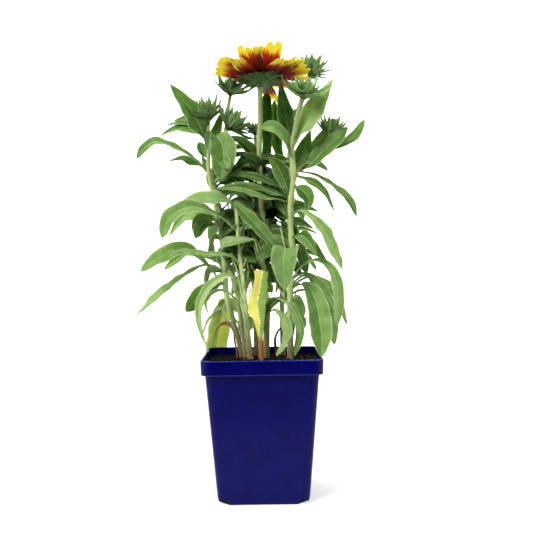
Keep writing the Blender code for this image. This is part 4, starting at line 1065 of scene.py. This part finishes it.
def corner_blocks(near, far, across_reach, levels, finish):
    """Four diagonal blocks, one at each corner of the pot's underside."""
    made = []
    for corner in range(4):
        turn = math.pi / 4.0 + corner * math.pi / 2.0
        outward = np.array([math.cos(turn), math.sin(turn), 0.0])
        across = np.array([-outward[1], outward[0], 0.0])
        points = []
        for level, inset in levels:
            for along, side in ((near + inset, -1.0), (near + inset, 1.0), (far, 1.0), (far, -1.0)):
                points.append(outward * along + across * side * across_reach + np.array([0, 0, level]))
        made.append(plain_object("block", points, loft_faces(len(levels), 4), finish))
    return made


def make_pot(finishes):
    finish = finishes["pot"]
    low = POT_HEIGHT - BAND_HEIGHT
    wall_top = wall_width(low)
    corner = CORNER_RADIUS
    outer = [
        (BASE_WIDTH - 1.6, corner, 0.0), (BASE_WIDTH - 0.5, corner, 0.3), (BASE_WIDTH, corner, 1.0),
        (wall_width(40.0), corner, 40.0), (wall_width(80.0), corner, 80.0),
        (wall_top - 0.2, corner, low - 1.2), (wall_top + 0.2, corner, low - 0.4),
        (wall_top + 1.0, corner + 0.2, low),
        (RIM_WIDTH - 2.0, corner + 1.0, low), (RIM_WIDTH - 1.2, corner + 1.0, low + 0.3),
        (RIM_WIDTH - 0.9, corner + 1.0, low + 1.0), (RIM_WIDTH - 0.2, corner + 1.0, POT_HEIGHT - 1.4),
        (RIM_WIDTH, corner + 1.0, POT_HEIGHT - 0.9), (RIM_WIDTH - 0.2, corner + 1.0, POT_HEIGHT - 0.4),
        (RIM_WIDTH - 0.8, corner + 0.7, POT_HEIGHT), (RIM_WIDTH - 2.4, corner, POT_HEIGHT),
    ]
    shell = square_loft("pot_fine", outer, finish)
    wedge = ((-2.0, 0.0), (NOTCH_HEIGHT - NOTCH_SLOPE, 0.0), (NOTCH_HEIGHT, 1.0))
    cut_away(shell, corner_blocks(NOTCH_START, NOTCH_START + 40.0, 30.0, wedge, finish))
    thick = 2.0 * POT_WALL
    ledge = low + POT_WALL
    inner = [
        (BASE_WIDTH - thick, corner - POT_WALL, POT_WALL),
        (wall_top - thick, corner - POT_WALL, ledge - 0.3),
        (RIM_WIDTH - thick - 0.4, corner, ledge + 0.6),
        (RIM_WIDTH - thick, corner, POT_HEIGHT - 0.6),
        (RIM_WIDTH - thick + 0.6, corner, POT_HEIGHT - 0.1),
        (RIM_WIDTH - thick + 1.4, corner, POT_HEIGHT + 3.0),
    ]
    hollow = square_loft("hollow", inner, finish)
    raised = tuple((level + POT_WALL if level > 0.0 else level, inset) for level, inset in wedge)
    cut_away(hollow, corner_blocks(NOTCH_START - POT_WALL, NOTCH_START + 40.0, 30.0, raised, finish))
    cut_away(shell, [hollow])
    slots = corner_blocks(NOTCH_START + 1.2, NOTCH_START + 1.2 + DRAIN_LENGTH, DRAIN_WIDTH / 2.0,
                          ((NOTCH_HEIGHT - 4.0, 0.0), (NOTCH_HEIGHT + 5.0, 0.0)), finish)
    cut_away(shell, slots)
    shell.data.shade_smooth()
    shell.data.set_sharp_from_angle(angle=math.radians(28.0))
    keep(shell, "pot")


def soil_height(x, y):
    """Lumpy peat that rises a little towards the stems."""
    away = min(1.0, math.hypot(x, y) / 52.0)
    lump = noise.noise(Vector((x * 0.13, y * 0.13, 4.0)))
    fine = noise.noise(Vector((x * 0.31, y * 0.31, 9.0)))
    clod = noise.noise(Vector((x * 0.75, y * 0.75, 2.0)))
    grain = noise.noise(Vector((x * 1.7, y * 1.7, 6.0)))
    lumps = SOIL_LUMPS * (lump + 0.6 * fine) + SOIL_GRAIN * (1.3 * clod + 0.8 * grain)
    return SOIL_LEVEL + SOIL_MOUND * (1.0 - away ** 2) + lumps


def make_soil(finishes):
    skin = Skin()
    rng = np.random.default_rng(SEED + 102)
    low = POT_HEIGHT - BAND_HEIGHT
    clear = 2.0 * (POT_WALL + GAP)
    edge = RIM_WIDTH - clear - 0.6
    inside = CORNER_RADIUS - POT_WALL
    rings = [rounded_square(BASE_WIDTH - clear - 1.0, inside, POT_WALL + 6.0, 24),
             rounded_square(wall_width(low) - clear - 0.6, inside, low + 1.0, 24),
             rounded_square(edge, inside + 1.0, low + 3.0, 24)]
    rim = np.array(rounded_square(edge, inside + 1.0, 0.0, 24))
    for number in range(SOIL_RINGS):
        share = 1.0 - number / SOIL_RINGS
        ring = rim * share
        heights = [soil_height(x, y) for x, y in ring[:, :2]]
        rings.append(np.column_stack([ring[:, 0], ring[:, 1], heights]))
    skin.add(np.array(rings), loft_faces(len(rings), len(rim)), chance=0.5, tone=0.3)
    crumbs(skin, rng, edge / 2.0)
    fibres(skin, rng)
    skin.to_piece("soil_fine", finishes["soil"], "soil", "soil", 80.0)


def crumbs(skin, rng, reach):
    """Loose crumbs of peat on the soil."""
    seed_ball = bmesh.new()
    bmesh.ops.create_icosphere(seed_ball, subdivisions=1, radius=1.0)
    ball = np.array([v.co for v in seed_ball.verts])
    faces = [tuple(v.index for v in face.verts) for face in seed_ball.faces]
    seed_ball.free()
    for _ in range(SOIL_CRUMBS):
        x, y = (rng.random(2) * 2.0 - 1.0) * (reach - 2.5)
        size = 0.35 + 1.1 * rng.random() ** 3
        shape = ball * (0.7 + 0.6 * rng.random(ball.shape)) * size
        place = np.array([x, y, soil_height(x, y) + size * 0.35])
        skin.add(shape + place, faces, chance=rng.random(), tone=rng.random())


def fibres(skin, rng):
    """Short brown fibres round the feet of the stems."""
    for _ in range(SOIL_FIBRES):
        turn = rng.random() * 2.0 * math.pi
        x = -6.0 + 20.0 * rng.normal()
        y = 12.0 * rng.normal()
        if max(abs(x), abs(y)) > 48.0:
            continue
        length = 2.0 + 6.0 * rng.random()
        lift = soil_height(x, y) + 0.4
        end = (x + length * math.cos(turn), y + length * math.sin(turn), lift + 1.8 * rng.random())
        middle = ((x + end[0]) / 2 + rng.normal(), (y + end[1]) / 2 + rng.normal(), lift + 0.8)
        tube(skin, Curve([(x, y, lift), middle, end]), (0.22, 0.1), FIBRE_TONE, rng, sides=4,
             spacing=1.5)


# ================================================================ materials
def srgb(red, green, blue):
    """A colour as shown on a screen, 0 to 255, as linear light."""
    return tuple((v / 255.0 / 12.92) if v <= 10.0 else ((v / 255.0 + 0.055) / 1.055) ** 2.4
                 for v in (red, green, blue)) + (1.0,)


class Graph:
    """Short calls that build the nodes of one material."""

    def __init__(self, name, roughness, **fixed):
        self.material = bpy.data.materials.new(name)
        self.material.use_nodes = True
        self.tree = self.material.node_tree
        self.shader = self.tree.nodes["Principled BSDF"]
        self.shader.inputs["Roughness"].default_value = roughness
        for socket, value in fixed.items():
            self.shader.inputs[socket.replace("_", " ")].default_value = value

    def node(self, kind, inputs, output=0, **settings):
        made = self.tree.nodes.new(kind)
        for key, value in settings.items():
            setattr(made, key, value)
        for key, value in inputs.items():
            if isinstance(value, bpy.types.NodeSocket):
                self.tree.links.new(value, made.inputs[key])
            else:
                made.inputs[key].default_value = value
        return made.outputs[output]

    def value(self, name):
        return self.node("ShaderNodeAttribute", {}, "Fac", attribute_name=name)

    def place(self):
        """Where a point is on the object, in millimetres."""
        spot = self.node("ShaderNodeTexCoord", {}, "Object")
        return self.node("ShaderNodeVectorMath", {0: spot, "Scale": 1.0 / MM}, operation="SCALE")

    def vector(self, x, y, z):
        return self.node("ShaderNodeCombineXYZ", {0: x, 1: y, 2: z})

    def part(self, vector, axis):
        return self.node("ShaderNodeSeparateXYZ", {0: vector}, axis)

    def maths(self, operation, one, two=0.0):
        return self.node("ShaderNodeMath", {0: one, 1: two}, operation=operation)

    def add(self, one, two):
        return self.maths("ADD", one, two)

    def times(self, one, two):
        return self.maths("MULTIPLY", one, two)

    def larger(self, one, two):
        return self.maths("MAXIMUM", one, two)

    def absolute(self, one):
        return self.maths("ABSOLUTE", one)

    def noise(self, vector, scale, detail=3.0, roughness=0.5):
        return self.node("ShaderNodeTexNoise", {"Vector": vector, "Scale": scale, "Detail": detail,
                                                "Roughness": roughness})

    def remap(self, value, low, high, new_low=0.0, new_high=1.0):
        return self.node("ShaderNodeMapRange", {0: value, 1: low, 2: high, 3: new_low, 4: new_high},
                         interpolation_type="SMOOTHSTEP")

    def mix(self, factor, one, two):
        return self.node("ShaderNodeMix", {0: factor, 6: one, 7: two}, 2, data_type="RGBA")

    def ramp(self, value, *stops):
        """Colours along a value, each stop a (position, colour)."""
        made = self.tree.nodes.new("ShaderNodeValToRGB")
        elements = made.color_ramp.elements
        while len(elements) < len(stops):
            elements.new(1.0)
        for element, (position, colour) in zip(elements, stops):
            element.position = position
            element.color = colour
        self.tree.links.new(value, made.inputs[0])
        return made.outputs[0]

    def finish(self, colour, bump=None, distance=0.1, roughness=None):
        self.tree.links.new(colour, self.shader.inputs["Base Color"])
        if roughness is not None:
            self.tree.links.new(roughness, self.shader.inputs["Roughness"])
        if bump is not None:
            normal = self.node("ShaderNodeBump", {"Height": bump, "Distance": distance * MM,
                                                  "Strength": 1.0})
            self.tree.links.new(normal, self.shader.inputs["Normal"])
        return self.material


LEAF_GLOW = {"Subsurface_Weight": 0.25, "Subsurface_Radius": (0.7, 1.0, 0.3), "Subsurface_Scale": 0.002}


def leaf_nodes(graph, tones, dark_line):
    """Colour and relief of a green blade: midrib, side veins, mottling, paler underside and painted shade on
    one half.
    """
    across = graph.value("across")
    beside = graph.absolute(across)
    along = graph.value("along")
    share = graph.value("share")
    place = graph.vector(across, along, graph.times(graph.value("chance"), 90.0))
    mottle = graph.noise(place, 0.11, 3.0, 0.5)
    fine = graph.noise(place, 1.5, 3.0, 0.6)
    shade = graph.add(graph.value("tone"), graph.remap(mottle, 0.25, 0.75, -0.06, 0.06))
    shade = graph.add(shade, graph.remap(fine, 0.3, 0.7, -0.08, 0.08))
    # Painted shade: one half of the blade beside the midrib is made darker and the other paler, as on a
    # folded leaf in light.
    half = graph.times(graph.remap(across, -0.3, 0.3, -1.0, 1.0),
                       graph.remap(graph.value("chance"), 0.0, 1.0, -0.08, 0.08))
    shade = graph.add(shade, half)
    shade = graph.add(shade, graph.remap(share, 0.0, 0.22, 0.14, 0.0))
    colour = graph.ramp(shade, *tones)
    rows = graph.add(graph.times(beside, -1.15), along)
    wobble = graph.remap(graph.noise(place, 0.35, 2.0), 0.0, 1.0, -1.2, 1.2)
    rows = graph.maths("SINE", graph.times(graph.add(rows, wobble), 1.4))
    veins = graph.remap(rows, 0.80, 1.0)
    veins = graph.times(veins, graph.remap(beside, 0.3, 1.2))
    rib = graph.remap(beside, 0.55, 0.10)
    strong = graph.remap(share, 0.1, 0.95, 0.72, 0.30)
    lines = graph.larger(graph.times(veins, 0.10), graph.times(rib, strong))
    margin = graph.remap(graph.value("edge"), 0.80, 1.0, 0.0, 0.45)
    lines = graph.larger(lines, margin)
    pale = graph.ramp(shade, (0.05, dark_line), (0.45, srgb(182, 198, 142)))
    colour = graph.mix(lines, colour, pale)
    colour = graph.mix(graph.times(graph.value("under"), 0.35), colour, srgb(138, 168, 112))
    relief = graph.add(graph.times(veins, -0.35), graph.times(fine, 0.8))
    return colour, relief


def leaf_material():
    graph = Graph("leaf_green", 0.6, Sheen_Weight=0.04, Sheen_Roughness=0.4, Specular_IOR_Level=0.12,
                  **LEAF_GLOW)
    # The stop at 1.0 serves the back shoot's broad leaf: its pale yellow-green is painted light, shining
    # through that shaded leaf.
    tones = ((0.0, srgb(20, 42, 4)), (0.3, srgb(54, 88, 28)), (0.55, srgb(92, 126, 60)),
             (0.8, srgb(138, 164, 102)), (0.93, srgb(160, 184, 116)), (1.0, srgb(200, 206, 108)))
    colour, relief = leaf_nodes(graph, tones, srgb(88, 114, 56))
    return graph.finish(colour, relief, 0.35)


def bract_material():
    graph = Graph("bract_green", 0.64, Sheen_Weight=0.05, Sheen_Roughness=0.45, Specular_IOR_Level=0.12,
                  **LEAF_GLOW)
    tones = ((0.0, srgb(26, 50, 6)), (0.3, srgb(52, 88, 26)), (0.55, srgb(88, 128, 60)),
             (0.8, srgb(128, 166, 108)), (1.0, srgb(158, 188, 136)))
    colour, relief = leaf_nodes(graph, tones, srgb(146, 168, 112))
    tipped = graph.times(graph.remap(graph.value("share"), 0.82, 1.0),
                         graph.remap(graph.value("chance"), 0.5, 0.9, 0.0, 0.55))
    colour = graph.mix(tipped, colour, srgb(110, 84, 60))
    return graph.finish(colour, relief, 0.12)


def stalk_material():
    """Pale ribbed green, browner towards the foot, with fine reddish streaks; the green just above the foot
    is partly painted light.
    """
    graph = Graph("stalk_green", 0.6, Sheen_Weight=0.2, Specular_IOR_Level=0.3, **LEAF_GLOW)
    place = graph.place()
    height = graph.part(place, 2)
    across = graph.value("across")
    along = graph.value("along")
    streaks = graph.noise(graph.vector(graph.times(across, 1.6),
                                       graph.times(along, 0.07), graph.value("chance")),
                          2.2, 3.0, 0.6)
    speckle = graph.noise(place, 1.6, 3.0, 0.6)
    level = graph.add(height, graph.remap(streaks, 0.3, 0.7, -13.0, 13.0))
    level = graph.remap(level, 125.0, 400.0)
    # The stops at 0.05 and 0.11, just above the foot, are paler than the stems' own green: painted light
    # against the shade low in the bush.
    colour = graph.ramp(level, (0.0, srgb(120, 92, 58)), (0.05, srgb(156, 164, 100)),
                        (0.11, srgb(186, 208, 134)), (0.7, srgb(182, 196, 122)),
                        (1.0, srgb(148, 166, 102)))
    low_down = graph.remap(height, 260.0, 150.0, 0.06, 0.12)
    dark = graph.times(graph.remap(streaks, 0.55, 0.75), low_down)
    colour = graph.mix(dark, colour, srgb(110, 72, 58))
    colour = graph.mix(graph.remap(speckle, 0.58, 0.75, 0.0, 0.35), colour, srgb(198, 205, 158))
    return graph.finish(colour, streaks, 0.15)


def hair_material():
    graph = Graph("plant_hair", 0.5, Specular_IOR_Level=0.4)
    chance = graph.value("chance")
    tone = graph.value("tone")
    shade = graph.add(tone, graph.remap(chance, 0.0, 1.0, -0.15, 0.15))
    colour = graph.ramp(shade, (0.0, srgb(120, 150, 100)), (0.5, srgb(176, 194, 150)),
                        (1.0, srgb(222, 226, 200)))
    return graph.finish(colour)


def yellow_material():
    """A yellowed blade: green along one side, brown at the foot."""
    graph = Graph("yellow_leaf", 0.6, Sheen_Weight=0.2, Specular_IOR_Level=0.3, **LEAF_GLOW)
    across = graph.value("across")
    along = graph.value("along")
    place = graph.vector(across, along, 7.0)
    patch = graph.noise(place, 0.22, 3.0, 0.6)
    fine = graph.noise(place, 1.6, 3.0, 0.6)
    border = graph.add(across, graph.remap(patch, 0.2, 0.8, -2.0, 2.0))
    colour = graph.mix(graph.remap(border, -0.4, 1.0), srgb(244, 232, 110), srgb(112, 154, 60))
    colour = graph.mix(graph.remap(fine, 0.45, 0.75, 0.0, 0.35), colour, srgb(250, 240, 150))
    rib = graph.remap(graph.absolute(across), 0.8, 0.2, 0.0, 0.6)
    colour = graph.mix(rib, colour, srgb(238, 232, 170))
    height = graph.part(graph.place(), 2)
    foot = graph.add(height, graph.remap(patch, 0.2, 0.8, -5.0, 5.0))
    colour = graph.mix(graph.remap(foot, 160.0, 150.0), colour, srgb(150, 104, 48))
    return graph.finish(colour, fine, 0.15)


def dried_material():
    graph = Graph("dried_brown", 0.85, Specular_IOR_Level=0.2)
    place = graph.place()
    broad = graph.noise(place, 0.25, 4.0, 0.6)
    fine = graph.noise(place, 2.2, 4.0, 0.65)
    colour = graph.ramp(graph.add(graph.times(broad, 0.6),
                                  graph.times(fine, 0.4)),
                        (0.3, srgb(92, 58, 30)), (0.5, srgb(140, 96, 48)), (0.7, srgb(186, 150, 92)))
    return graph.finish(colour, fine, 0.4)


def petal_material():
    """Deep red from the root, feathered into yellow towards the lobes."""
    graph = Graph("petal_red_yellow", 0.6, Sheen_Weight=0.05, Sheen_Roughness=0.4, Specular_IOR_Level=0.15,
                  Subsurface_Weight=0.4, Subsurface_Radius=(1.0, 0.6, 0.15), Subsurface_Scale=0.002)
    across = graph.value("across")
    share = graph.value("share")
    chance = graph.value("chance")
    offset = graph.times(chance, 50.0)
    streaks = graph.noise(graph.vector(graph.times(across, 6.5), share, offset), 2.2, 3.0, 0.6)
    broad = graph.noise(graph.vector(across, share, offset), 1.4, 2.0)
    level = graph.add(share, graph.remap(streaks, 0.3, 0.7, 0.09, -0.09))
    level = graph.add(level, graph.remap(broad, 0.3, 0.7, -0.07, 0.07))
    edge = graph.remap(graph.absolute(across), 0.6, 1.0, 0.0, 0.08)
    level = graph.add(level, edge)
    colour = graph.ramp(level, (0.0, srgb(40, 4, 6)), (0.36, srgb(88, 10, 10)), (0.60, srgb(138, 26, 18)),
                        (0.70, srgb(168, 52, 22)), (0.76, srgb(236, 180, 44)), (0.83, srgb(255, 240, 78)))
    veins = graph.noise(graph.vector(graph.times(across, 9.0), share, offset), 3.0, 2.0)
    bright = graph.remap(veins, 0.35, 0.7, 0.0, 0.20)
    bright = graph.times(bright, graph.remap(share, 0.35, 0.7))
    colour = graph.mix(bright, colour, srgb(220, 104, 40))
    return graph.finish(colour, veins, 0.35)


def disc_material():
    graph = Graph("disc_brown", 0.7, Sheen_Weight=0.2, Specular_IOR_Level=0.25)
    share = graph.value("share")
    chance = graph.value("chance")
    level = graph.add(share, graph.remap(chance, 0.0, 1.0, -0.2, 0.2))
    colour = graph.ramp(level, (0.0, srgb(52, 14, 12)), (0.5, srgb(104, 26, 18)), (0.8, srgb(150, 60, 24)),
                        (1.0, srgb(214, 160, 48)))
    fine = graph.noise(graph.place(), 3.0, 3.0)
    return graph.finish(colour, fine, 0.3)


def soil_material():
    graph = Graph("black_peat", 0.95, Specular_IOR_Level=0.15)
    place = graph.place()
    broad = graph.noise(place, 0.3, 4.0, 0.6)
    fine = graph.noise(place, 2.6, 5.0, 0.7)
    shade = graph.add(graph.times(fine, 0.7), graph.times(graph.value("tone"), 0.28))
    colour = graph.ramp(shade, (0.25, srgb(2, 2, 2)), (0.5, srgb(6, 5, 4)), (0.75, srgb(18, 14, 11)),
                        (0.98, srgb(92, 70, 48)))
    colour = graph.mix(graph.remap(broad, 0.35, 0.65, 0.0, 0.5), colour, srgb(8, 7, 6))
    return graph.finish(colour, fine, 0.8)


def pot_material():
    """Deep blue moulded plastic, faintly brushed, with dust low down, painted highlights along the rim and
    band edges, and painted shade in the corner notches.
    """
    graph = Graph("blue_plastic", 0.24, Specular_IOR_Level=0.08)
    place = graph.place()
    height = graph.part(place, 2)
    cloud = graph.noise(place, 0.05, 3.0, 0.5)
    grain = graph.noise(place, 1.8, 4.0, 0.65)
    squeezed = graph.node("ShaderNodeVectorMath", {0: place, 1: (1.4, 1.4, 0.05)}, operation="MULTIPLY")
    brushed = graph.noise(squeezed, 1.1, 3.0, 0.6)
    colour = graph.mix(graph.remap(cloud, 0.3, 0.7), srgb(1, 1, 74), srgb(3, 3, 84))
    dust = graph.times(graph.remap(height, 120.0, 10.0, 0.0, 0.03),
                       graph.remap(grain, 0.2, 0.8, 0.6, 1.0))
    colour = graph.mix(dust, colour, srgb(96, 98, 150))
    # Painted highlights: paler blue along the top of the rim and the lower edge of the band, patchy with the
    # grain.
    from_band = graph.maths("SUBTRACT", height, POT_HEIGHT - BAND_HEIGHT + 0.4)
    band_highlight = graph.remap(graph.absolute(from_band), 0.9, 0.2)
    edge_highlight = graph.larger(graph.remap(height, POT_HEIGHT - 1.3, POT_HEIGHT - 0.4), band_highlight)
    edge_highlight = graph.times(edge_highlight, graph.remap(grain, 0.3, 0.7, 0.15, 0.4))
    colour = graph.mix(edge_highlight, colour, srgb(70, 84, 176))
    scuffs = graph.remap(graph.noise(squeezed, 3.4, 2.0), 0.66, 0.76, 0.0, 0.18)
    colour = graph.mix(scuffs, colour, srgb(72, 76, 150))
    relief = graph.add(graph.times(grain, 0.4), graph.times(brushed, 0.6))
    # Painted shade: inside the corner notches under the pot the colour is nearly black.
    out = graph.add(graph.absolute(graph.part(place, 0)), graph.absolute(graph.part(place, 1)))
    corner = graph.remap(out, (NOTCH_START - 0.6) * math.sqrt(2.0), (NOTCH_START + 0.4) * math.sqrt(2.0))
    notch = graph.times(corner, graph.remap(height, NOTCH_HEIGHT + 0.15, NOTCH_HEIGHT - 0.15))
    colour = graph.mix(notch, colour, srgb(2, 2, 8))
    rough = graph.remap(grain, 0.3, 0.7, 0.2, 0.3)
    return graph.finish(colour, relief, 0.05, rough)


def make_finishes():
    return {
        "leaf": leaf_material(),
        "bract": bract_material(),
        "stalk": stalk_material(),
        "hair": hair_material(),
        "yellow": yellow_material(),
        "dried": dried_material(),
        "petal": petal_material(),
        "disc": disc_material(),
        "soil": soil_material(),
        "pot": pot_material(),
    }


# ================================================================ stage, light and camera
def stage_material(name, colour, glow):
    graph = Graph(name, 0.9, Specular_IOR_Level=0.1)
    graph.shader.inputs["Base Color"].default_value = (*colour, 1.0)
    graph.shader.inputs["Emission Color"].default_value = (1.0, 1.0, 1.0, 1.0)
    graph.shader.inputs["Emission Strength"].default_value = glow
    return graph.material


def stage_sheet(name, corners, finish):
    mesh = bpy.data.meshes.new(name)
    mesh.from_pydata([Vector(c) * MM for c in corners], [], [(0, 1, 2, 3)])
    mesh.materials.append(finish)
    sheet = bpy.data.objects.new(name, mesh)
    bpy.context.scene.collection.objects.link(sheet)


def make_stage():
    """A white table that runs back to a white screen."""
    far = 1100.0
    wide = 2600.0
    near = -300.0
    stage_sheet("floor", [(-wide, near, 0.0), (wide, near, 0.0), (wide, far, 0.0), (-wide, far, 0.0)],
                stage_material("floor_white", (0.55, 0.55, 0.55), 0.42))
    stage_sheet("backdrop", [(-wide, far, -10.0), (wide, far, -10.0), (wide, far, wide), (-wide, far, wide)],
                stage_material("backdrop_white", (0.9, 0.9, 0.9), 0.85))


def area_light(name, place, target, size, power):
    light = bpy.data.lights.new(name, "AREA")
    light.shape = "SQUARE"
    light.size = size * MM
    light.energy = power
    lamp = bpy.data.objects.new(name, light)
    lamp.location = Vector(place) * MM
    lamp.rotation_euler = (Vector(target) - Vector(place)).to_track_quat("-Z", "Y").to_euler()
    bpy.context.scene.collection.objects.link(lamp)


def make_light():
    world = bpy.data.worlds.new("studio")
    bpy.context.scene.world = world
    world.use_nodes = True
    tree = world.node_tree
    direction = tree.nodes.new("ShaderNodeTexCoord").outputs["Generated"]
    split = tree.nodes.new("ShaderNodeSeparateXYZ")
    tree.links.new(direction, split.inputs[0])
    front = tree.nodes.new("ShaderNodeMapRange")
    tree.links.new(split.outputs["Y"], front.inputs[0])
    for number, value in ((1, -0.7), (2, 0.3), (3, 0.02), (4, 0.75)):
        front.inputs[number].default_value = value
    tree.links.new(front.outputs[0], tree.nodes["Background"].inputs["Strength"])
    for name, (lamp_place, width, power) in LAMPS.items():
        area_light(name, lamp_place, LAMP_TARGET, width, power)


def make_camera():
    data = bpy.data.cameras.new("camera")
    data.lens = CAMERA_LENS
    data.sensor_width = CAMERA_SENSOR
    data.sensor_fit = "HORIZONTAL"
    camera = bpy.data.objects.new("camera", data)
    bpy.context.scene.collection.objects.link(camera)
    camera.location = Vector(CAMERA_PLACE) * MM
    camera.rotation_mode = "XYZ"
    camera.rotation_euler = (math.pi / 2.0, CAMERA_ROLL, 0.0)
    bpy.context.scene.camera = camera
    bpy.context.scene.view_settings.view_transform = "Standard"


def main():
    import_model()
    make_camera()
    make_stage()
    make_light()
    finishes = make_finishes()
    make_pot(finishes)
    make_soil(finishes)
    for number, (name, stem) in enumerate(STEMS.items()):
        make_stem(name, stem, number, finishes)
    make_rays(finishes)
    make_disc(finishes)


main()
